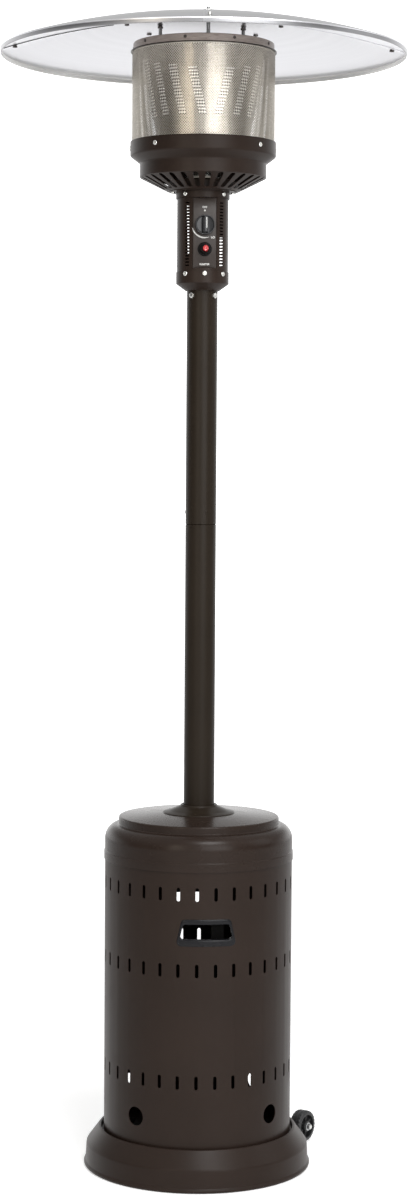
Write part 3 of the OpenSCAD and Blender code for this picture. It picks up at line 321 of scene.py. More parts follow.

# %% [markdown]
# Two sheets have painted light and shade in places. On the cone, each louvre has a lip painted bright as a
# highlight and a mouth painted dark as shade, which the mesh marks with attributes; the lip also has a
# painted glow, for the light that is thrown back and forth between the cone and the screen. The cap's foot is
# painted dark as shade.

# %% Cone and cap
LIP_PAINTED_GLOW, CAP_SHADE_TOP = 0.32, 2.2531
cone_tree, cap_tree = coats["cone_steel"].node_tree, coats["cap_steel"].node_tree
lip, mouth = [add(cone_tree, "Attribute", {"attribute_name": name}).outputs["Fac"]
              for name in ("lip", "mouth")]
# Painted highlight: the louvre lips are coloured near white.
recolour("cone_steel", lip, (0.95, 0.93, 0.9))
# Painted shade: the louvre mouths are coloured near black.
cone_shader = recolour("cone_steel", mouth, (0.012, 0.011, 0.01))
# Painted glow: the lips give off a little light, though they are no lamp.
painted_glow = mix(cone_tree, lip, (0, 0, 0, 1), (1, 0.97, 0.92, 1))
cone_tree.links.new(painted_glow, cone_shader.inputs["Emission Color"])
cone_shader.inputs["Emission Strength"].default_value = LIP_PAINTED_GLOW
# Painted shade: below this height the cap's foot is coloured near black, for the shadow in the gap over the
# screen.
cap_height = parted(cap_tree, own_place(cap_tree))[2]
recolour("cap_steel", math_node(cap_tree, "LESS_THAN", cap_height, CAP_SHADE_TOP), (0.03, 0.026, 0.023))
print("cone:", len(cone_tree.nodes), "nodes, cap:", len(cap_tree.nodes), "nodes")

# %% [markdown]
# The reflector's sheet is bright below; its outside is painted a duller grey as shade. Its rolled edge is
# painted darker as a shade line, the inside of the hem is painted a paler grey shade, and the cut edge of a
# lap is painted almost black as the shadow in the lap. Each mask comes from the place of a point or from the
# direction of its normal, so the colours stay on the sheet in every view.

# %% Reflector sheet
SPHERE_R, SPHERE_Z, SKIN = 1.32613, 0.99087, 0.0005
HEM_TOP, HEM_SHADE_TOP = 2.2526, 2.2503
INWARDS, ONWARDS = -0.5, 0.7
finish("rolled_aluminium", (0.87, 0.87, 0.9), (0.9, 0.9, 0.93), (0.29, 0.34), metallic=1.0,
       pattern=(turned_rings, {"Rings": 60.0}, "Ring"), smudge=(5.0, 0.5))
sheet = coats["rolled_aluminium"].node_tree
spot = own_place(sheet)
height = parted(sheet, spot)[2]
normal = add(sheet, "TexCoord").outputs["Normal"]
outwards = vector_node(sheet, "NORMALIZE", vector_node(sheet, "MULTIPLY", spot, (1, 1, 0)))
onwards = vector_node(sheet, "CROSS_PRODUCT", (0, 0, 1), outwards)
beyond = vector_node(sheet, "DISTANCE", spot, (0, 0, SPHERE_Z), "Value")
faces_out = vector_node(sheet, "DOT_PRODUCT", outwards, normal, "Value")
faces_on = vector_node(sheet, "DOT_PRODUCT", onwards, normal, "Value")
hem_inside_shade = math_node(sheet, "MULTIPLY", math_node(sheet, "LESS_THAN", faces_out, INWARDS),
                       math_node(sheet, "LESS_THAN", height, HEM_TOP))
# Painted shade: a darker outside, a dark line on the rolled edge, a grey hem inside and a near-black lap
# edge.
SHEET_PAINTED_SHADES = [(math_node(sheet, "GREATER_THAN", beyond, SPHERE_R - SKIN), (0.55, 0.55, 0.56)),
                 (math_node(sheet, "LESS_THAN", height, HEM_SHADE_TOP), (0.3, 0.3, 0.31)),
                 (hem_inside_shade, (0.62, 0.615, 0.59)),
                 (math_node(sheet, "GREATER_THAN", faces_on, ONWARDS), (0.015, 0.015, 0.016))]
for mask, colour in SHEET_PAINTED_SHADES:
    recolour("rolled_aluminium", mask, colour)
print("finishes:", len(coats))

# %% [markdown]
# ## Finishes for the frame's own nodes
# The solids of the housing, post, head and burner already have their real shape, so they only need a finish.
# A node takes the one that goes with its slot in the record, and a few have one of their own.

# %% Finishes on the frame's own nodes
SLOT_COAT = {"bronze_paint": "bronze_powder", "black_steel": "black_paint", "zinc_steel": "zinc_plate",
             "stainless": "burner_steel", "reflector_aluminium": "rolled_aluminium", "brass": "brass",
             "rubber": "soft_rubber", "black_plastic": "moulded_black", "knob_plastic": "knob_black",
             "red_plastic": "button_red", "ceramic": "glazed_ceramic"}
OWN_COAT = {"emitter_screen": "screen_steel", "flame_cone": "cone_steel", "emitter_cap": "cap_steel",
            "venturi_tube": "zinc_plate", "gas_pipe": "copper", "thermocouple": "copper",
            "left_wheel": "wheel_black", "right_wheel": "wheel_black", "lower_post": "post_powder",
            "upper_post": "post_powder", "post_joint_screws": "post_powder", "post_collar": "post_powder",
            "wheel_bracket": "post_powder"}
for row in frame["record"]["subparts"]:
    coat = OWN_COAT.get(row["node"], SLOT_COAT[row["material_slot"]])
    nodes[row["node"]].data.materials.clear()
    nodes[row["node"]].data.materials.append(coats[coat])

# %% [markdown]
# ## Surfaces from numbers
# A surface here is a grid of points, worked out as one array. Two helpers make most shapes: a path whose
# corners are rounded, and a closed outline turned round the post. A part is an array of points with arrays of
# faces, so parts can be copied to many places by one product of matrices and joined into one mesh.

# %% Paths and outlines


def rounded(corners, steps=8):
    """A path of (x, y, radius) corners. Each corner becomes an arc that touches both of its sides."""
    corners = np.asarray(corners, float)
    path = [corners[:1, :2]]
    for before, (*corner, radius), after in zip(corners, corners[1:], corners[2:]):
        u, v = before[:2] - corner, after[:2] - corner
        u, v = u / np.linalg.norm(u), v / np.linalg.norm(v)
        half = math.acos(np.clip(u @ v, -1, 1)) / 2
        if radius == 0 or half > math.pi / 2 - 1e-3:
            path.append(np.array([corner]))
            continue
        centre = corner + (u + v) / np.linalg.norm(u + v) * radius / math.sin(half)
        a, b = (corner + side * radius / math.tan(half) - centre for side in (u, v))
        t = np.linspace(0, 1, steps)[:, None]
        turn = math.acos(np.clip(a @ b / radius ** 2, -1, 1))
        path.append(centre + (np.sin((1 - t) * turn) * a + np.sin(t * turn) * b) / math.sin(turn))
    path.append(corners[-1:, :2])
    return np.concatenate(path)


def walled(path, thickness):
    """A closed outline: the path, and the same path moved to its left by the thickness, even at bends."""
    step = np.diff(path, axis=0)
    step /= np.linalg.norm(step, axis=1)[:, None]
    left = np.stack([-step[:, 1], step[:, 0]], axis=1)
    first, last = np.vstack([left[:1], left]), np.vstack([left, left[-1:]])
    middle = first + last
    middle /= np.einsum("ij,ij->i", middle, last)[:, None]
    return np.vstack([path, (path + thickness * middle)[::-1]])


def smooth(x):
    """Smooth step from 0 to 1 as x goes from 0 to 1."""
    x = np.clip(x, 0, 1)
    return x * x * (3 - 2 * x)


def band(value, half, blur):
    """1 where the value lies within half of zero, falling smoothly to 0 over the blur."""
    return 1 - smooth((np.abs(value) - half) / blur)


def circle(count):
    """Angles of that many points round a full turn."""
    return np.arange(count) * 2 * math.pi / count


# %% Grids of points


def grid_faces(rows, columns, wrap_rows=False, wrap_columns=False):
    """Quads between neighbouring points of a grid, numbered row by row."""
    i = np.arange(rows if wrap_rows else rows - 1)[:, None]
    j = np.arange(columns if wrap_columns else columns - 1)[None, :]
    i1, j1 = (i + 1) % rows, (j + 1) % columns
    corners = [i * columns + j, i1 * columns + j, i1 * columns + j1, i * columns + j1]
    return np.stack([np.broadcast_to(c, (i.shape[0], j.shape[1])) for c in corners], -1).reshape(-1, 4)


def polar(radius, angle, height):
    """Points (r cos a, r sin a, h) of arrays that stretch to one shape."""
    return np.stack(np.broadcast_arrays(radius * np.cos(angle), radius * np.sin(angle), height), -1)


def skinned(points, wrap_rows=False, wrap_columns=True):
    """A grid of points in mm as a part in metres."""
    return points.reshape(-1, 3) * MM, [grid_faces(*points.shape[:2], wrap_rows, wrap_columns)]


def capped(points):
    """Closed rings of points stacked row by row, with a flat face on the first and on the last."""
    rows, count = points.shape[:2]
    ring = np.arange(count)[None]
    made, faces = skinned(points)
    return made, faces + [ring[:, ::-1], ring + (rows - 1) * count]


def turned(outline, segments=160, start=0.0, sweep=360.0, closed=True):
    """An outline of (radius, height) in mm carried round the Z axis, with end faces if it stops short.

    closed=False leaves the outline's two ends unjoined, for a part to meet.
    """
    outline, whole = np.asarray(outline, float), sweep == 360.0
    angle = np.radians(start + np.linspace(0, sweep, segments + (not whole), endpoint=not whole))[:, None]
    points = polar(outline[:, 0], angle, outline[:, 1])
    return skinned(points, True, closed) if whole else capped(points)


def skin_round(radius, height):
    """Rings round the Z axis: row by row a radius and a height in mm, each free to change with the angle."""
    return skinned(polar(radius, circle(radius.shape[1]), height))


def pushed(section, levels, order=(0, 1, 2)):
    """A closed section of two coordinates carried along the third through some levels, with flat ends."""
    a, b, c = np.broadcast_arrays(section[..., 0], section[..., 1], np.reshape(levels, (-1, 1)))
    return capped(np.stack([a, b, c], -1)[..., list(order)])


def cells(points):
    """Many holes at once: a cell is rings of points, from its outer edge over the hole's rim to the back."""
    count, deep, ring = points.shape[:3]
    one = grid_faces(deep, ring, False, True)
    faces = (one[None] + (np.arange(count) * deep * ring)[:, None, None]).reshape(-1, 4)
    return points.reshape(-1, 3) * MM, [faces]


# %% Frames and copies


def axes_at(x, y, z, place):
    """Frames from their own axes and places in mm: the axes are the columns of a matrix, one for each."""
    return np.stack(np.broadcast_arrays(x, y, z, place)[:3], -1), place * MM


def around(azimuths, radius, height):
    """The directions out from the post and on round it at some azimuths, and the places there."""
    a = np.radians(np.atleast_1d(azimuths).astype(float))
    return polar(1.0, a, 0 * a), polar(1.0, a + math.pi / 2, 0 * a), polar(radius, a, 0 * a + height)


def outward(azimuths, radius, height):
    """Frames whose own Z points out from the post, at a radius and height in mm."""
    out, on, place = around(azimuths, radius, height)
    return axes_at(on, UP, out, place)


def upright(azimuths, radius, height, sign=1.0):
    """Frames whose own Z points up, or down if the sign is -1, and whose X points out from the post."""
    out, on, place = around(azimuths, radius, height)
    return axes_at(out, sign * on, sign * UP, place)


def facing(height, y):
    """One frame on the control panel: own Z towards the front, own Y up, at a height and y in mm."""
    return axes_at([1.0, 0, 0], UP, [0, -1.0, 0], np.array([[0.0, y, height]]))


def copies(part, places):
    """A part set into each frame: turned by its matrix and moved to its place, all in one product."""
    points, faces = part
    turns, moves = places
    many = np.einsum("mij,nj->mni", turns, points) + moves[:, None, :]
    shift = (np.arange(len(turns)) * len(points))[:, None, None]
    return many.reshape(-1, 3), [(f[None] + shift).reshape(-1, f.shape[1]) for f in faces]


def joined(*parts):
    """Several parts as one: points stacked, face numbers shifted."""
    starts = np.cumsum([0] + [len(p) for p, _ in parts[:-1]])
    return np.concatenate([p for p, _ in parts]), [f + s for (_, fs), s in zip(parts, starts) for f in fs]


# %% Pieces
WELD, SLIVER = 2e-6, 1e-7


def hand_over(name, mesh, coat, body, slot, *stands_for):
    """A mesh as a finished piece: its finish, the body it rides on and the nodes it stands for; the slot is
    not used.
    """
    mesh.materials.clear()
    mesh.materials.append(coats[coat])
    made = linked(name, mesh)
    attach(made, body)
    if stands_for:
        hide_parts(*stands_for)
    print("%s: %d faces" % (name, len(mesh.polygons)))


def piece(name, part, coat, body, slot, *stands_for, sharp=32.0, weld=True):
    """A mesh from arrays: poles and seams welded, outward faces, smooth up to an angle, handed over."""
    points, faces = part
    mesh = bpy.data.meshes.new(name)
    corners = np.concatenate([f.ravel() for f in faces]).astype(np.int32)
    totals = np.concatenate([np.full(len(f), f.shape[1]) for f in faces]).astype(np.int32)
    mesh.vertices.add(len(points))
    mesh.vertices.foreach_set("co", points.astype(np.float32).ravel())
    mesh.loops.add(len(corners))
    mesh.loops.foreach_set("vertex_index", corners)
    mesh.polygons.add(len(totals))
    mesh.polygons.foreach_set("loop_start", np.concatenate([[0], np.cumsum(totals)[:-1]]).astype(np.int32))
    mesh.update(calc_edges=True)
    if weld:
        shell = bmesh.new()
        shell.from_mesh(mesh)
        bmesh.ops.remove_doubles(shell, verts=shell.verts, dist=WELD)
        bmesh.ops.dissolve_degenerate(shell, edges=shell.edges, dist=SLIVER)
        bmesh.ops.recalc_face_normals(shell, faces=shell.faces)
        shell.to_mesh(mesh)
        shell.free()
    mesh.polygons.foreach_set("use_smooth", np.ones(len(mesh.polygons), bool))
    mesh.set_sharp_from_angle(angle=math.radians(sharp))
    hand_over(name, mesh, coat, body, slot, *stands_for)
    return mesh


# %% [markdown]
# ## The base
# The base is one sheet pressed into a skirt: a rolled lip on the floor, a near-upright wall, a slope, a
# rounded rim and the deck behind it. The section is drawn once as a path with rounded corners, given the
# sheet's thickness, and turned round the post.

# %% Base
DECK, BASE_R, WALL_R, RIM_R, SHEET = 69.0, 231.0, 227.8, 195.5, 1.5
base_path = rounded([(219, 0, 0), (BASE_R, 0, 4.4), (BASE_R, 6.4, 2.2), (WALL_R, 9.4, 2.5), (225.8, 45, 9),
                     (200.5, 79, 2.6), (RIM_R, 79, 2.4), (RIM_R, DECK, 2.5), (112, DECK, 3), (109, 72, 3),
                     (101, 72, 3), (98, DECK, 3), (0, DECK, 0)])
piece("base_shell", turned(walled(base_path, SHEET), 224), "bronze_powder", "stand", "bronze_paint",
      "base_pan", "tank_deck")

# %% [markdown]
# ## The lid and the collar
# The lid has a bead that slips over the housing, a straight skirt, a shoulder that is a quarter of an oval,
# and a raised centre whose plate rises gently to the post. The collar is a small cone that slides on the
# post; its outline is written up from its foot on the plate.

# %% Lid and collar
LID_Z, LID_TOP, NECK_R, SKIRT_R, SKIRT_Z = 629.0, 714.7, 162.8, 190.8, 668.7
LID_HOLE, LID_RISE, COLLAR_R = 35.7, 10.0, 73.0
quarter = np.radians(np.linspace(0, 90, 22))
skirt = rounded([(192.3, LID_Z, 0), (192.3, 645.6, 1.2), (SKIRT_R, 647.2, 1.2), (SKIRT_R, SKIRT_Z, 0)])
shoulder = np.stack([SKIRT_R - 25.0 + 25.0 * np.cos(quarter), SKIRT_Z + 30.0 * np.sin(quarter)], 1)
crown = rounded([(164.5, 698.9, 0), (NECK_R, 700.6, 1.2), (NECK_R, LID_TOP, 3.4),
                 (LID_HOLE, LID_TOP + LID_RISE, 0)])
lid_outline = walled(np.vstack([skirt, shoulder[1:], crown]), SHEET)
piece("lid_shell", turned(lid_outline, 224), "lid_powder", "housing", "bronze_paint", "housing_lid")
collar_foot = LID_TOP + LID_RISE * (NECK_R - COLLAR_R) / (NECK_R - LID_HOLE) + 0.2
collar_outline = rounded([(r, collar_foot + up, bend) for r, up, bend in (
    (32.2, -14, 0), (34.7, -14, 0), (34.7, 13, 0), (71, 0, 0), (COLLAR_R, 0, 0), (72.4, 1.2, 0.6),
    (60, 4.4, 14), (38, 13.6, 2), (37.4, 15.2, 0.5), (36.2, 16.8, 0.8), (34.2, 16.8, 0.8), (32.2, 15, 0))])
piece("collar_cone", turned(collar_outline, 128), "post_powder", "housing", "bronze_paint", "post_collar")

# %% [markdown]
# ## The emitter screen
# The screen is a sheet with thousands of small openings in a staggered pattern. Light and the cone behind it
# show through, so the openings are real. Each opening is a cell: four corners that it shares with its
# neighbours, the four corners of the hole between them, and the hole's wall behind. The cells tile the sheet
# like diamonds, so a row of triangles closes the zigzag at either end, where plain strips take over.

# %% Emitter screen
SCREEN_R, SCREEN_T, SCREEN_FOOT, SCREEN_TOP = 143.0, 1.0, 2048.0, 2251.0
COLUMNS, ROWS, HOLE_SHARE = 180, 67, 0.76
HOLES_LOW, HOLES_HIGH = 2070.0, 2249.6


def perforated_sheet():
    """Diamonds round a cylinder: an odd row is turned by half a pitch; a hole is a diamond drawn in."""
    pitch, rise = 2 * math.pi / COLUMNS, (HOLES_HIGH - HOLES_LOW) / (ROWS + 1)
    i, j = [grid.ravel()[:, None, None] for grid in np.meshgrid(np.arange(COLUMNS), np.arange(ROWS))]
    ring = np.radians(90 * np.arange(4))
    share = np.array([1, HOLE_SHARE, HOLE_SHARE])[:, None]
    radius = SCREEN_R - np.array([0, 0, SCREEN_T])[:, None]
    angle = (i + 0.5 * (j % 2) + 0.5 * share * np.cos(ring)) * pitch
    height = HOLES_LOW + rise * (1 + j + share * np.sin(ring))
    step = (np.arange(COLUMNS)[:, None] + np.array([0, 0.5, 1])) * pitch
    threes = [np.arange(3 * COLUMNS).reshape(-1, 3)]
    ends = [(polar(SCREEN_R, step, np.array([edge, edge + lean, edge])).reshape(-1, 3) * MM, threes)
            for edge, lean in ((HOLES_LOW, rise), (HOLES_HIGH, -rise))]
    return joined(cells(polar(radius, angle, height)), *ends)


def plain_strip(meets, ends):
    """A plain ring of sheet, open where it meets the cells, with as many sides as a row has cells."""
    inner = SCREEN_R - SCREEN_T
    return turned([(SCREEN_R, meets), (SCREEN_R, ends), (inner, ends), (inner, meets)], COLUMNS, closed=False)


screen = joined(perforated_sheet(), plain_strip(HOLES_LOW, SCREEN_FOOT), plain_strip(HOLES_HIGH, SCREEN_TOP))
piece("perforated_screen", screen, "screen_steel", "stand", "stainless", "emitter_screen", sharp=50)

# %% [markdown]
# ## The flame cone
# Behind the screen stands a cone of polished sheet, wider at the top, with columns of small louvres. A louvre
# is a strip pushed outwards: it ends in a mouth below, painted dark as shade, and runs out in a round back
# above, painted bright as a highlight that shows as a thin dash. The cone is rolled from two half sheets that
# were punched flat, in straight columns beside each other, so on the cone the columns lean towards the seam
# at the front. The radius gets a bump that is the product of a tooth along the height and a soft window round
# the girth.

# %% Flame cone
LOUVRE_ROWS, LOUVRE_DEPTH, LOUVRE_LOW, LOUVRE_STEP = 19, 2.6, 2117.0, 6.07
LOUVRES_KEPT = np.array([15, 16, 17, 19, 19, 17, 16, 15])
LOUVRE_PITCH, CONE_TURN, CONE_SHEET = 40.0, math.radians(3.0), 0.8
LIFT_FROM, LIFT_TO, BACK_END = 0.3, 0.34, 0.92
WINDOW = np.radians([-6, -5.2, -4.8, -4.2, -1.5, 1.5, 4.2, 4.8, 5.2, 6])
CONE_LOW, CONE_HIGH = np.array([88.0, 2048.0]), np.array([124.0, 2266.4])


def louvre_columns(r):
    """Azimuth of each column at radius r: asin(d / slant) in the flat half sheet, over sin(half angle)."""
    wider, taller = CONE_HIGH - CONE_LOW
    sine = math.sin(math.atan2(wider, taller))
    lean = np.arcsin(LOUVRE_PITCH * (np.arange(8) - 3.5) / (r[:, None] / sine)) / sine
    return np.concatenate([lean, lean + math.pi], 1) + CONE_TURN


def louvred_cone():
    """Radius on a grid of height and angle: a straight cone plus louvre bumps, then its inside.

    Beside the points come two masks: the lip highlight is 1 on a louvre's back, which is painted bright, and
    the mouth shade is 1 in its slit, which is painted dark.
    """
    tooth = np.array([0.0, 0.06, 0.2, 0.3, 0.34, 0.44, 0.54, 0.64, 0.74, 0.84, 0.92])
    rows = (LOUVRE_LOW + (np.arange(LOUVRE_ROWS)[:, None] + tooth) * LOUVRE_STEP).ravel()
    top = LOUVRE_LOW + LOUVRE_ROWS * LOUVRE_STEP
    z = np.concatenate([np.linspace(CONE_LOW[1], LOUVRE_LOW, 8)[:-1], rows,
                        np.linspace(top, CONE_HIGH[1], 4)])
    row, phase = np.divmod((z - LOUVRE_LOW) / LOUVRE_STEP + 1e-6, 1.0)
    back = np.sqrt(np.clip(1 - ((phase - LIFT_TO) / (BACK_END - LIFT_TO)) ** 2, 0, 1))
    lift = np.where(phase < LIFT_TO, smooth((phase - LIFT_FROM) / (LIFT_TO - LIFT_FROM)), back)[:, None, None]
    r = np.interp(z, (CONE_LOW[1], CONE_HIGH[1]), (CONE_LOW[0], CONE_HIGH[0]))
    column = louvre_columns(r)[:, :, None]
    gap = np.roll(column, -1, 1) - column - 2 * WINDOW[-1]
    gap[:, -1] += 2 * math.pi
    angle = np.concatenate([column + WINDOW, column + WINDOW[-1] + gap * np.array([1, 2]) / 3], 2)
    across = np.append(band(WINDOW, math.radians(4.2), math.radians(1.0)), [0, 0])
    kept = (row[:, None] >= 0) & (row[:, None] < np.tile(LOUVRES_KEPT, 2))
    shape = kept[:, :, None] * across
    wall = r[:, None, None] + LOUVRE_DEPTH * lift * shape
    # Masks for the painted highlight on a louvre's back and the painted shade in its mouth.
    lip = smooth((lift * shape - 0.3) / 0.3)
    mouth = ((phase > 0.03) & (phase < 0.25))[:, None, None] * shape
    flat = (len(z), -1)
    out = polar(wall.reshape(flat), angle.reshape(flat), z[:, None])
    back = polar(wall.reshape(flat) - CONE_SHEET, angle.reshape(flat), z[:, None])[::-1]
    masks = [np.concatenate([mask, 0 * mask]).ravel() for mask in (lip, mouth)]
    return skinned(np.concatenate([out, back]), True), masks


cone_part, masks = louvred_cone()
cone = piece("louvred_cone", cone_part, "cone_steel", "stand", "stainless", "flame_cone", sharp=30,
             weld=False)
# The attributes carry the painted highlight and painted shade masks to the cone's finish.
for name, mask in zip(("lip", "mouth"), masks):
    cone.attributes.new(name, "FLOAT", "POINT").data.foreach_set("value", mask.astype(np.float32))

# %% [markdown]
# ## Screws and bolts
# A pan-head screw is a shallow dome with a cross pressed into it. On a grid of rings that is one formula: the
# dome's height, less a depth wherever a point lies inside one of the two arms. A hex head or nut is a ring
# whose radius is half the width over the cosine of the angle to the nearest flat. Each is made once and
# copied by matrices.

# %% Screw and bolt shapes
ROUND = circle(48)


def pan_head(radius, height, shank, length):
    """Dome height * (0.4 + 0.6 * sqrt(1 - (r / R)^2)), less a cross of two arms, then rim and shank."""
    r = radius * np.linspace(0, 1, 14)[:, None] + 0 * ROUND
    x, y = r * np.cos(ROUND), r * np.sin(ROUND)
    wide, long, blur = 0.1 * radius, 0.5 * radius, 0.12 * radius
    arms = np.maximum(band(x, wide, blur) * band(y, long, blur), band(y, wide, blur) * band(x, long, blur))
    z = height * (0.4 + 0.6 * np.sqrt(1 - (r / radius) ** 2) - 0.6 * arms)
    below = np.array([[radius, 0], [shank, 0], [shank, -length], [0, -length]])
    return skin_round(np.vstack([r, below[:, :1] + 0 * ROUND]), np.vstack([z, below[:, 1:] + 0 * ROUND]))


def hexagon(across, height, inner, below):
    """Half the width over the cosine of the angle to the nearest flat, its corners turned off by a cone.

    The top starts at the inner radius; below gives (radius, height) from the seat on.
    """
    flat = across / 2 / np.cos((ROUND + math.pi / 6) % (math.pi / 3) - math.pi / 6)
    even = 0 * flat
    radius = [even + inner, even + 0.43 * across, np.minimum(flat, across * 0.53), flat, flat]
    level = [height, height, height - 0.05 * across, height - 0.12 * across, 0]
    return skin_round(np.array(radius + [even + r for r, _ in below]),
                      np.array(level + [z for _, z in below])[:, None])


def hex_head(across, height, shank, length):
    """A hexagon with a shank below."""
    return hexagon(across, height, 0.0, [(shank, 0), (shank, -length), (0, -length)])


def hex_nut(across, height, bore):
    """A hexagon with a bore from its seat to its top."""
    return hexagon(across, height, bore, [(bore, 0), (bore, height)])


# %% Screws of the head, bowl, cap and post
FRONT = -90.0
QUARTERS = FRONT + np.array([-45.0, 45.0, 135.0, -135.0])
head_screws = joined(
    copies(pan_head(4.6, 2.4, 2.0, 3.5), outward(FRONT + np.array([-45.0, 0, 45, 180]), 53.0, 1809.0)),
    copies(pan_head(4.6, 2.4, 2.0, 4.7), outward(QUARTERS, 54.0, 1967.5)),
    copies(pan_head(4.0, 3.0, 2.0, 4.0), upright([0, 180], 60.0, 1973.4, -1.0)))
band_screws = copies(pan_head(4.6, 2.4, 2.0, 5.3), outward(np.append(QUARTERS, [0, 180]), 146.3, 2058.75))
ring_screws = copies(pan_head(3.2, 1.8, 2.0, 3.6), outward(FRONT + 20 + 40 * np.arange(9), 141.0, 2261.2))
post_turns = FRONT + np.array([17.5, 137.5, -102.5])
post_screws = copies(pan_head(3.2, 1.0, 2.0, 4.5), outward(post_turns, 31.0, 1332.6))
hex_bolts = copies(hex_head(10.4, 4.0, 3.0, 4.5), outward(QUARTERS, 31.0, 1767.0))
piece("head_screws", head_screws, "zinc_plate", "stand", "zinc_steel", "shell_screws")
piece("band_screws", band_screws, "zinc_plate", "stand", "zinc_steel", "bowl_screws")
piece("ring_screws", ring_screws, "dark_steel", "stand", "zinc_steel", "cap_screws")
piece("post_screws", post_screws, "post_powder", "stand", "bronze_paint", "post_joint_screws")
piece("hex_bolts", hex_bolts, "zinc_plate", "stand", "zinc_steel", "head_bolts")

# %% [markdown]
# ## The burner bowl
# The bowl is spun sheet: a flat foot, a cone full of air slots, an upright neck, a soft flare and a band that
# holds the screen. The plain parts are turned paths. The slotted cone is cut into sectors, one for each slot:
# a ring of points runs round the sector's edge and a second one round the slot, and quads join the two.

# %% Burner bowl
SLOTS, SLOT_HALF, SLOT_FROM, SLOT_TO = 30, 5.25, 82.0, 120.0
FOOT_R, CONE_FOOT, CONE_HEAD, CONE_Z, CONE_SLOPE = 72.0, 74.5, 126.0, 1975.0, 0.5
NECK, BAND_R = 127.0, 146.3


def cone_at(r):
    """Height of the bowl's outer cone at radius r: a straight line from the edge of the foot."""
    return CONE_Z + CONE_SLOPE * (r - FOOT_R)


def slotted_cone():
    """Sector edge and slot outline as rings of 28 points in the same order, on both faces of the sheet."""
    across, along = np.linspace(-1, 1, 5)[:-1], np.linspace(0, 1, 11)[:-1]
    edge_a = np.concatenate([across, 0 * along + 1, -across, 0 * along - 1]) * math.pi / SLOTS
    rise = np.concatenate([0 * across, along, 0 * across + 1, 1 - along])
    edge_r = CONE_FOOT + (CONE_HEAD - CONE_FOOT) * rise
    end = np.radians(np.linspace(-90, 90, 5)[:-1])
    span = SLOT_TO - SLOT_FROM
    slot_x = SLOT_HALF * np.concatenate([np.sin(end), 0 * along + 1, -np.sin(end), 0 * along - 1])
    slot_r = np.concatenate([SLOT_FROM - SLOT_HALF * np.cos(end), SLOT_FROM + span * along,
                             SLOT_TO + SLOT_HALF * np.cos(end), SLOT_TO - span * along])
    x = np.stack([edge_r * np.sin(edge_a), slot_x])
    y = np.stack([edge_r * np.cos(edge_a), slot_r])
    r, a = np.hypot(x, y)[[0, 1, 1, 0]], np.arctan2(x, y)[[0, 1, 1, 0]]
    behind = SHEET / math.hypot(1, CONE_SLOPE) * np.array([0, 0, 1, 1])[:, None]
    r = r - behind * CONE_SLOPE
    z = cone_at(r[[0, 1, 1, 0]]) + behind
    turn = np.radians(FRONT + np.arange(SLOTS) * 360 / SLOTS)[:, None, None]
    return cells(polar(r, turn + a, z))


foot_path = rounded([(CONE_FOOT, cone_at(CONE_FOOT), 0), (FOOT_R, CONE_Z, 2.0), (46.5, CONE_Z, 0)])
wall_path = rounded([(CONE_HEAD, cone_at(CONE_HEAD), 0), (NECK, 2002.5, 0.8), (NECK, 2030, 5),
                     (BAND_R, 2044.5, 5), (BAND_R, 2072.5, 0)])
bowl = joined(slotted_cone(), turned(walled(foot_path, -SHEET), 4 * SLOTS, closed=False),
              turned(walled(wall_path, SHEET), 4 * SLOTS, closed=False))
piece("slotted_bowl", bowl, "bronze_powder", "stand", "bronze_paint", "burner_bowl")

# %% [markdown]
# A low ring stands on the foot inside the bowl. It is a sheet put there so that the lower ends of the slots
# stay dark in front of it, standing in for shade.

# %% Shade ring
THIN = 1.2
shade_ring_path = rounded([(70.0, 1976.0, 0), (70.0, 1993.0, 2.0), (67.5, 1996.0, 0)])
piece("slot_shade_ring", turned(walled(shade_ring_path, THIN), 96), "bronze_powder", "stand", "bronze_paint")

# %% [markdown]
# ## The cap over the screen
# The cap is a shallow lid whose rolled foot sits on the screen. Its outline is turned like the base.

# %% Cap
cap_path = rounded([(146, 2250.4, 0), (146, 2252.6, 1.0), (141.4, 2252.6, 1.0), (141, 2268, 2.0),
                    (0, 2268, 0)])
piece("ring_cap", turned(walled(cap_path, THIN), 192), "cap_steel", "stand", "stainless", "emitter_cap")

# %% [markdown]
# ## The reflector
# The dome is part of a sphere, made of four panels of thin bright sheet. Each panel has a turned-down hem
# with a rolled edge, and a lowered strip along one side that passes under its neighbour. Both are sections
# turned through a part of a circle. Screws with nuts, threaded studs and wing nuts hold it together.

# %% Reflector panels
DOME_R, HEM_Z, SEAM, DOME_SHEET = 407.0, 2243.0, FRONT - 5.0, 1.0


def dome_at(r):
    """Height of the dome's outer face at radius r, both in mm: sphere height + sqrt(R^2 - r^2)."""
    return (SPHERE_Z + np.sqrt(SPHERE_R ** 2 - np.square(r * MM))) / MM


def dome_line(r_from, r_to, drop, count):
    """Points along the dome between two radii, lowered by drop."""
    r = np.linspace(r_from, r_to, count)
    return np.stack([r, dome_at(r) - drop], 1)


hem = rounded([(402.6, HEM_Z + 2.2, 0), (403.0, HEM_Z, 0.9), (405.2, HEM_Z, 1.2), (DOME_R, 2252.8, 2.4),
               (400.0, dome_at(400.0), 0)], 8)
panel_outline = walled(np.vstack([hem, dome_line(397.0, 131.0, 0, 28)]), DOME_SHEET)
strip_outline = walled(dome_line(403.0, 180.0, 1.3, 24), DOME_SHEET)
for number in range(4):
    start = SEAM + 90 * number
    quarter_dome = joined(turned(panel_outline, 60, start, 89.9), turned(strip_outline, 4, start + 88.8, 4.2))
    piece("dome_panel_%d" % (number + 1), quarter_dome, "rolled_aluminium", "stand", "reflector_aluminium",
          "reflector_panel_%d" % (number + 1))

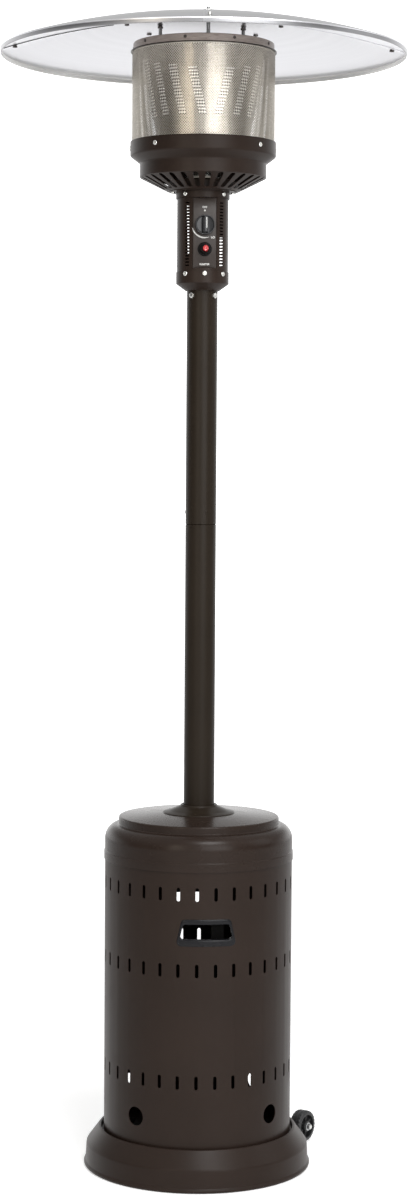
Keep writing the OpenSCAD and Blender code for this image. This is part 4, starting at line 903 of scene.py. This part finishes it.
# %% Reflector screws and studs
STUDS, STUD_R = FRONT + np.array([0.0, 120.0, -120.0]), 97.0
HUB_OVER = float(dome_at(86.5)) - 1.2
seams = SEAM + 1.6 + 90 * np.arange(4)
SEAM_SCREWS = [(seams, 377.0), (seams, 154.0), (seams + 45, 154.0)]
dome_screws = [copies(pan_head(4.5, 2.6, 2.5, 5.2), upright(az, r, dome_at(r - 4.5) + 0.2))
               for az, r in SEAM_SCREWS]
piece("dome_screws", joined(*dome_screws), "zinc_plate", "stand", "zinc_steel", "seam_screws")


def threaded_rod(radius, low, high, pitch):
    """Radius less a triangle wave of 0.65 mm that climbs one pitch for each turn, with plain flat ends."""
    turn = np.arange(20) / 20.0
    z = np.linspace(low, high, int((high - low) / pitch * 6))[:, None]
    ridge = np.abs(((z - low) / pitch - turn) % 1.0 * 2 - 1)
    ends = np.zeros((1, 20))
    return skin_round(np.vstack([ends, radius - 0.65 * (1 - ridge), ends]),
                      np.vstack([ends + low, z + 0 * turn, ends + high]))


studs = copies(threaded_rod(4.0, 2258.8, HUB_OVER + 12, 1.25), upright(STUDS, STUD_R, 0))
piece("threaded_studs", studs, "stud_steel", "stand", "zinc_steel", "reflector_studs")

# %% Reflector nuts
STUD_BORE, SCREW_BORE = 4.05, 2.45
stud_nuts = [copies(hex_nut(across, tall, STUD_BORE), upright(STUDS, STUD_R, z)) for across, tall, z in (
    (11.0, 6.0, 2260.7), (11.0, 6.0, 2268.1), (9.6, 4.5, float(dome_at(104.5)) - 7.5))]
seam_nuts = [copies(hex_nut(9.0, 3.6, SCREW_BORE), upright(az, r, dome_at(r) - 5.2)) for az, r in SEAM_SCREWS]
piece("dome_nuts", joined(*stud_nuts, *seam_nuts), "dark_steel", "stand", "zinc_steel", "stud_nuts")


def wing_nut():
    """A washer and a coned hub turned as one outline, and two wings: ovals that lean out and thin down."""
    hub_outline = rounded([(STUD_BORE, 0, 0), (10.5, 0, 0.3), (10.5, 1.5, 0.4), (7.5, 1.5, 0.6),
                           (6.2, 7.4, 1.2), (STUD_BORE, 7.6, 0)], 5)
    turn, v = circle(24), np.linspace(-1, 1, 13)[:, None]
    along, edge = 7.2 * v, np.sqrt(np.clip(1 - v ** 2, 0, 1))
    out = 8.2 + 0.62 * along + 3.4 * edge * np.cos(turn)
    up = np.minimum(8.2 + 0.5616 * along + 1.2 * edge * np.cos(turn), 13.8)
    lobe = np.stack([1.5 * edge * np.sin(turn), out, up], -1)
    wings = [skinned(lobe * np.array([side, side, 1.0])) for side in (1.0, -1.0)]
    return joined(turned(hub_outline, 40), *wings)


wing_nuts = copies(wing_nut(), upright(STUDS, STUD_R, HUB_OVER))
piece("wing_nuts_bright", wing_nuts, "zinc_plate", "stand", "zinc_steel", "wing_nuts")

# %% [markdown]
# ## The control panel
# The panel is a plate with both sides folded back and turned out again, so that no light comes past it, and
# a lip along its lower edge. Its section is a path with a wall, pushed along the height; the last half
# millimetre draws in, as a sheared edge does under paint.

# %% Control panel
PANEL_Y, PANEL_Z, PANEL_HIGH, PANEL_HALF, FLANGE = -46.53, 1820.0, 138.6, 23.5, 29.0
PANEL_BACK, DRAWN, SUNK = PANEL_Y + 10.0, 0.5, 0.4


def folded_plate():
    """The section's (x, y) at four heights; at the two ends the y of every point sinks."""
    path = rounded([(-FLANGE, PANEL_BACK, 0), (-PANEL_HALF, PANEL_BACK, 1.6), (-PANEL_HALF, PANEL_Y, 1.6),
                    (PANEL_HALF, PANEL_Y, 1.6), (PANEL_HALF, PANEL_BACK, 1.6), (FLANGE, PANEL_BACK, 0)], 7)
    sink = np.array([(0, SUNK), (0, 0), (0, 0), (0, SUNK)])[:, None]
    return pushed(walled(path, THIN) + sink, PANEL_Z + np.array([0, DRAWN, PANEL_HIGH - DRAWN, PANEL_HIGH]))


lip_section = walled(np.array([(PANEL_Y + 0.6, PANEL_Z + 0.1), (PANEL_BACK, PANEL_Z + 0.1)]), THIN)
lower_lip = pushed(lip_section, (-22.6, 22.6), (2, 0, 1))
piece("panel_plate", joined(folded_plate(), lower_lip), "panel_powder", "stand", "bronze_paint",
      "control_panel", sharp=40)

# %% [markdown]
# ## The brackets inside the control head
# Two angle brackets on the wall of the head carry the valve and the spark unit, and a tapered web stands on
# the left one. They are hardly seen, but the vents in front of them stay dark, while the others let the light
# through; the web is a dark sheet put there so that more of the vents stay dark. Each is a section pushed
# along.

# %% Brackets
BRACKETS = [(1.0, 1886.0, 1966.0), (-1.0, 1812.0, 1851.0)]
BRACKET_Y, HEAD_WALL = 19.0, 46.4


def angle_bracket(side, low, high):
    """A leg towards the back and a leg out to the wall; side is 1 on the right and -1 on the left."""
    path = rounded([(20.0, 31.0, 0), (20.0, BRACKET_Y, 1.6), (HEAD_WALL, BRACKET_Y, 0)], 5)
    return pushed(walled(path * np.array([side, 1.0]), THIN), (low, high))


# A dark sheet behind the vents, standing in for shade, so that the vents in front of it stay dark.
web = np.array([(-HEAD_WALL, 1850.0), (-28.0, 1850.0), (-30.6, 1953.0), (-HEAD_WALL, 1953.0)])
vent_shade_web = pushed(web, (BRACKET_Y, BRACKET_Y + THIN), (0, 2, 1))
brackets = joined(*[angle_bracket(*row) for row in BRACKETS], vent_shade_web)
piece("head_brackets", brackets, "black_paint", "stand", "black_steel", sharp=40)

# %% [markdown]
# ## The knob
# The knob is a glossy moulding: a skirt with a raised rim, a sunk face, and a grip bar across the middle that
# leaves a half moon on either side. The skirt is turned. The grip is a stack of rounded oblongs that draw in
# towards the top. A white pointer is let into its face.

# %% Knob
KNOB_Z, KNOB_BACK, GRIP_TOP = 1905.0, -51.53, 20.0
dial = facing(KNOB_Z, KNOB_BACK)
skirt_outline = rounded([(0, 0, 0), (19.7, 0, 0.4), (20, 1.2, 0.4), (19.4, 7.0, 0.9), (17.5, 7.0, 0.7),
                         (16.9, 3.6, 0.8), (0, 3.2, 0)], 6)


def grip():
    """Rounded oblongs |x/a|^4 + |y/b|^4 = 1 whose half sizes lose an inset that grows towards the top."""
    height = np.array([2.6, 5.0, 10.0, 15.0, 17.6, 18.9, 19.6, 19.9, GRIP_TOP])[:, None]
    inset = np.array([0.0, 0.1, 0.45, 0.9, 1.25, 1.7, 2.4, 3.4, 5.2])[:, None]
    c, d = np.cos(circle(56)), np.sin(circle(56))
    shape = (np.abs(c) ** 4 + np.abs(d) ** 4) ** -0.25
    a, b = 6.5 - inset, 17.6 - inset
    return capped(np.stack([a * c * shape, b * d * shape, height + 0 * c], -1))


def inlay(length, width, x, y, top, deep):
    """A slim bar with round ends: an oblong outline pushed from its depth up to the top."""
    c, d = np.cos(circle(32)), np.sin(circle(32))
    end = (length - width) / 2
    outline = np.stack([width / 2 * c + x, width / 2 * d + np.sign(d) * end + y], -1)
    return pushed(outline, (top - deep, top))


knob = copies(joined(turned(skirt_outline, 96), grip()), dial)
piece("gas_knob", knob, "knob_black", "knob", "knob_plastic", "control_knob")
pointer = copies(inlay(21.0, 1.9, 1.9, 2.5, GRIP_TOP, 1.2), dial)
piece("knob_pointer", pointer, "white_print", "knob", "knob_plastic")

# %% [markdown]
# ## The igniter
# A black bezel is clamped to the panel, and a long guard on it leads the red button. Both are turned
# outlines, the button with a shallow dish for the thumb.

# %% Igniter
IGNITER_Z, GUARD, GUARD_BORE, BUTTON_R, SHAFT_END = 1857.0, 22.0, 6.0, 5.7, -18.9
push = facing(IGNITER_Z, PANEL_Y)
bezel_outline = rounded([(GUARD_BORE, -6.5, 0), (8, -6.5, 0), (8, 0.1, 0), (14, 0.1, 0.3), (14, 3.0, 1.2),
                         (12.6, 4.5, 1.2), (9.9, 4.5, 1.2), (9.2, 9, 4), (9.2, GUARD, 1.2), (6.9, GUARD, 0.6),
                         (GUARD_BORE, GUARD - 1.4, 0.8), (GUARD_BORE, 8, 0)], 6)
piece("igniter_collar", copies(turned(bezel_outline, 80), push), "guard_black", "stand", "black_plastic",
      "igniter_bezel")
face = GUARD + 6.0
button_outline = rounded([(0, SHAFT_END, 0), (3, SHAFT_END, 0.3), (3, -10.0, 0), (BUTTON_R, -10.0, 0.3),
                          (BUTTON_R, face, 1.1), (4.2, face, 0.5), (2.6, face - 0.7, 0.6),
                          (0, face - 0.8, 0)], 6)
piece("spark_button", copies(turned(button_outline, 64), push), "button_red", "igniter_button", "red_plastic",
      "igniter_button")

# %% [markdown]
# ## The marks on the panel
# The dial has a dot and a word at the closed place, a tapered arc that grows with the flame, and a word at
# its low end. A word starts as text, which becomes a mesh before it is moved to the panel. The arc is a strip
# whose width swells along its length.

# %% Words
INK = 0.08


def word(name, text, size, x, z):
    """Text as a thin raised mesh, stood up on the panel with its face to the front."""
    letters = bpy.data.curves.new(name, "FONT")
    letters.body, letters.size, letters.extrude = text, size * MM, INK * MM
    letters.align_x, letters.align_y = "CENTER", "CENTER"
    letters.offset = 0.02 * size * MM
    loose = bpy.data.objects.new(name + "_text", letters)
    mesh = bpy.data.meshes.new_from_object(loose)
    bpy.data.objects.remove(loose)
    place = Matrix.Translation((x * MM, (PANEL_Y - INK - 0.01) * MM, z * MM))
    mesh.transform(place @ Matrix.Rotation(math.pi / 2, 4, "X"))
    hand_over(name, mesh, "white_print", "stand", "knob_plastic")


word("closed_word", "OFF", 5.4, 0.0, KNOB_Z + 35.0)
word("low_word", "LO", 6.2, 16.5, KNOB_Z - 24.5)
word("igniter_word", "IGNITER", 5.4, 0.0, IGNITER_Z - 30.0)

# %% Dial marks


def flame_arc(radius, start, end, widest):
    """A strip along a circle; its half width is widest / 2 * sin(pi t)^0.7, so it closes to points."""
    t = np.linspace(0, 1, 60)[:, None]
    half = widest / 2 * np.sin(math.pi * np.clip(t, 1e-4, 1 - 1e-4)) ** 0.7
    r = radius + half * np.array([-1.0, 1.0, 1.0, -1.0])
    return skinned(polar(r, np.radians(start + (end - start) * t), np.array([0.0, 0.0, 0.18, 0.18])))


dot_outline = rounded([(0, 0, 0), (1.7, 0, 0), (1.7, 0.2, 0.1), (0, 0.22, 0)], 4)
marks = joined(copies(flame_arc(25.2, 192.0, 292.0, 2.9), facing(KNOB_Z, PANEL_Y)),
               copies(turned(dot_outline, 32), facing(KNOB_Z + 28.6, PANEL_Y)))
piece("dial_marks", marks, "white_print", "stand", "knob_plastic")

# %% [markdown]
# ## The handle frames
# A moulded frame lines each handle opening. It is one cross-section carried round a rounded oblong: at every
# place round the loop a point lies between the outer edge and the opening, at some depth. The flat drawing is
# then wrapped on the housing, whose radius grows by that depth.

# %% Handle frames
HOUSING_R, HOUSING_TALL, HANDLE_SHARE = 190.5, 571.0, 0.7715
FRAME_FOOT, FRAME_HEAD, FRAME_TALL = 121.0, 97.0, 53.5
HANDLE_Z = DECK + HANDLE_SHARE * HOUSING_TALL


def frame_loop(side, foot, head, corner):
    """A rounded trapezoid as a closed loop: four corner arcs and straight runs between them."""
    lean = (FRAME_FOOT - FRAME_HEAD) / 2 / FRAME_TALL
    y0, y1 = foot - FRAME_TALL / 2, FRAME_TALL / 2 - head
    x0, x1 = FRAME_FOOT / 2 - side - foot * lean, FRAME_HEAD / 2 - side + head * lean
    path = rounded([(0, y0, 0), (x0, y0, corner), (x1, y1, corner), (-x1, y1, corner), (-x0, y0, corner),
                    (0, y0, 0)], 9)
    share = np.linspace(0, 1, 14, endpoint=False)[:, None]
    runs = [path[i] + (path[i + 1] - path[i]) * share for i in (0, 9, 18, 27, 36)]
    arcs = [path[i + 1:i + 9] for i in (0, 9, 18, 27)]
    return np.concatenate([part for pair in zip(runs, arcs) for part in pair] + [runs[4]])


def handle_frame():
    """Rows of the cross-section: a share of the way from the outer edge to the opening, and a depth."""
    outer, inner = frame_loop(0, 0, 0, 9), frame_loop(5, 13, 10.5, 7)
    body = frame_loop(3.2, 3.2, 3.2, 6)
    front = [(0.0, 0.1), (0.0, 0.8), (0.05, 1.3), (0.14, 1.65), (0.28, 1.85), (0.42, 2.0), (0.6, 2.0),
             (0.76, 1.9), (0.88, 1.5), (0.96, 0.9), (1.0, 0.0), (1.0, -5.0), (1.0, -9.9)]
    rows = [(outer + (inner - outer) * share, depth) for share, depth in front]
    rows += [(body, -9.9), (body, 0.1)]
    x, z = np.stack([loop for loop, _ in rows], 1).T
    radius = HOUSING_R + np.array([depth for _, depth in rows])[:, None]
    return skinned(np.stack([x, -np.sqrt(radius ** 2 - x ** 2), z + HANDLE_Z], -1), True)


for name, azimuth in (("front_handle", 0.0), ("rear_handle", 180.0)):
    piece(name + "_frame", copies(handle_frame(), upright(azimuth, 0.0, 0.0)), "handle_black", "housing",
          "black_plastic", name + "_trim")

# %% [markdown]
# ## The wheels
# A small moulded wheel: a tread with two grooves and notched edges, and a sunk web with six ribs on each
# side. It is a stack of rings along the axle. On the tread the radius gives way at the notches; on the web
# the height rises at the ribs. The outer half mirrors the inner one.

# %% Wheels
WHEEL_R, WHEEL_IN, WHEEL_MID, AXLE_R, NOTCHES, RIBS = 32.5, 85.0, 98.0, 4.05, 24, 6
AXLE_REACH, AXLE_Z = math.sqrt(BASE_R ** 2 - WHEEL_IN ** 2) + WHEEL_R + 0.7, 35.5
WHEEL_AZ = math.radians(50)
HUB_IN = [(AXLE_R, 59.6, 0, 0), (9, 59.6, 0, 0), (11, 61, 0, 0)]
HALF_WHEEL = np.array([
    (11, 94, 0, -5), (23.2, 94, 0, -5), (23.8, 85.6, 0, 0), (24.6, WHEEL_IN, 0, 0), (28, WHEEL_IN, 0, 0),
    (30.6, 85.7, 0.9, 0), (32, 87.4, 0.9, 0), (WHEEL_R, 89.6, 0.9, 0), (WHEEL_R, 92.6, 0, 0),
    (31.5, 93.2, 0, 0), (31.5, 94.4, 0, 0), (WHEEL_R, 95, 0, 0), (WHEEL_R, WHEEL_MID, 0, 0)])
HUB_OUT = [(11, 111, 0, 0), (10, 112, 0, 0), (AXLE_R, 112, 0, 0), (AXLE_R, 59.6, 0, 0)]


def wheel():
    """Rings of radius and place along the axle; the last two columns are what a notch and a rib change."""
    mirrored = HALF_WHEEL[-2::-1] * [1, -1, 1, -1] + [0, 2 * WHEEL_MID, 0, 0]
    r, place, notched, ribbed = np.vstack([HUB_IN, HALF_WHEEL, mirrored, HUB_OUT]).T[:, :, None]
    share = np.arange(144) / 144
    notch = band(share * NOTCHES % 1.0 - 0.5, 0.12, 0.1)
    rib = band(share * RIBS % 1.0 - 0.5, 0.06, 0.05)
    return skin_round(r - notched * notch, place + ribbed * rib)


def on_axle(side):
    """A frame on the axle whose own Z runs out along it, to the left wheel (1) or the right one (-1)."""
    out = np.array([math.cos(WHEEL_AZ), math.sin(WHEEL_AZ), 0.0])
    along = side * np.array([-math.sin(WHEEL_AZ), math.cos(WHEEL_AZ), 0.0])
    return axes_at(out, np.cross(along, out), along, (out * AXLE_REACH + UP * AXLE_Z)[None])


def axle_nut(seat):
    """A turned washer and a hex nut on it, at the end of the axle."""
    over = seat + 1.4
    washer = rounded([(AXLE_R, seat, 0), (8.5, seat, 0.4), (8.5, over, 0.4), (AXLE_R, over, 0)], 4)
    return joined(turned(washer, 40), copies(hex_nut(11.1, 5.0, AXLE_R), upright(0.0, 0.0, over)))


SIDES = {"left_wheel": 1.0, "right_wheel": -1.0}
for name, side in SIDES.items():
    piece(name + "_tread", copies(wheel(), on_axle(side)), "wheel_black", name, "black_plastic", name)
end_nuts = joined(*[copies(axle_nut(112.3), on_axle(side)) for side in SIDES.values()])
piece("axle_end_nuts", end_nuts, "stud_steel", "stand", "zinc_steel", "axle_nuts")

# %% [markdown]
# ## The stage
# A pale floor carries the soft shadow. The world is a plain pale room: it lights the object softly, and what
# looks straight at it, or sees it in metal, sees white. Four wide lamps give the forms their modelling.

# %% World


def background(tree, plain, seen):
    """Plain light for diffuse rays, and the seen shader for the camera, for gloss and through glass."""
    path = add(tree, "LightPath").outputs
    either = math_node(tree, "MAXIMUM", path["Is Camera Ray"], path["Is Glossy Ray"])
    either = math_node(tree, "MAXIMUM", either, path["Is Transmission Ray"])
    return add(tree, "MixShader", s0=either, s1=plain, s2=seen).outputs[0]


WHITE, ROOM_LIGHT = (1, 1, 1, 1), 0.38
scene.world = bpy.data.worlds.new("pale_room")
room = empty_tree(scene.world)
_, ahead, up = parted(room, add(room, "TexCoord").outputs["Generated"])
front_wall = spread(room, ahead, -0.97, -0.6, 1.1, 0.12)
behind = spread(room, ahead, 0.0, 0.75)
back_wall = math_node(room, "MULTIPLY", behind, spread(room, up, 0.16, 0.34, 1.8, 0.62))
ceiling = spread(room, up, 0.16, 0.7, 0.12, 0.8)
walls = math_node(room, "MAXIMUM", math_node(room, "MAXIMUM", front_wall, back_wall), ceiling)
seen_white = math_node(room, "MAXIMUM", walls, add(room, "LightPath").outputs["Is Camera Ray"])
soft = add(room, "Background", Color=WHITE, Strength=ROOM_LIGHT).outputs[0]
white = add(room, "Background", Color=WHITE, Strength=seen_white).outputs[0]
add(room, "OutputWorld", s0=background(room, soft, white))
print("room:", len(room.nodes), "nodes")

# %% Floor
FLOOR, FLOOR_SIDES, FLOOR_DROP = 14.0, 9, 0.0004
FLOOR_COLOUR, FLOOR_GLOW = (0.86, 0.86, 0.86, 1), 0.52
floor_coat = bpy.data.materials.new("pale_floor")
ground = empty_tree(floor_coat)
place = own_place(ground)
floor_grain = spread(ground, noise(ground, place, 30.0), 0, 1, 0.45, 0.6)
matt = add(ground, "BsdfPrincipled", Base_Color=FLOOR_COLOUR, Roughness=floor_grain).outputs[0]
reach = spread(ground, vector_node(ground, "LENGTH", place, result="Value"), 1.0, 6.0, 0.0, 0.45)
haze = math_node(ground, "MULTIPLY", reach, add(ground, "LightPath").outputs["Is Camera Ray"])
strength = math_node(ground, "ADD", haze, FLOOR_GLOW)
pale = add(ground, "Emission", Color=WHITE, Strength=strength).outputs[0]
lit = add(ground, "AddShader", s0=matt, s1=pale).outputs[0]
add(ground, "OutputMaterial", s0=background(ground, matt, lit))
edge = np.linspace(-FLOOR, FLOOR, FLOOR_SIDES)
gx, gy = np.meshgrid(edge, edge)
floor_mesh = bpy.data.meshes.new("pale_floor")
floor_mesh.from_pydata(np.stack([gx, gy, 0 * gx - FLOOR_DROP], -1).reshape(-1, 3).tolist(), [],
                       grid_faces(FLOOR_SIDES, FLOOR_SIDES)[:, ::-1].tolist())
floor_mesh.materials.append(floor_coat)
floor = linked("pale_floor", floor_mesh)
print("floor: %d faces" % len(floor_mesh.polygons))

# %% Lamps


def lamp(name, azimuth, elevation, distance, wide, tall, share, colour=(1, 1, 1), target=1.2):
    """An area lamp. Its power is share * pi^2 * distance^2, which lights a facing white surface to share."""
    data = bpy.data.lights.new(name, "AREA")
    data.shape = "RECTANGLE"
    data.size, data.size_y = wide, tall
    data.color = colour
    data.energy = share * math.pi ** 2 * distance ** 2
    a, e = math.radians(azimuth), math.radians(elevation)
    back = Vector((math.sin(a) * math.cos(e), -math.cos(a) * math.cos(e), math.sin(e)))
    made = linked(name, data)
    made.location = Vector((0, 0, target)) + back * distance
    made.rotation_euler = back.to_track_quat("Z", "Y").to_euler()
    print("lamp %s: %.0f W" % (name, data.energy))


lamp("key", 17, 10, 4.2, 2.4, 2.6, 0.41, target=1.5)
lamp("warm_strip", -33, 8, 4.2, 1.0, 2.6, 0.14, (1.0, 0.9, 0.74), 1.6)
lamp("side", 84, 20, 4.0, 2.2, 2.2, 0.1)
lamp("top", 16, 57, 4.4, 1.5, 1.3, 0.42, target=0.3)

# %% [markdown]
# ## The view transform
# The picture is shown with the Standard view transform.

# %% View transform
scene.view_settings.view_transform = "Standard"
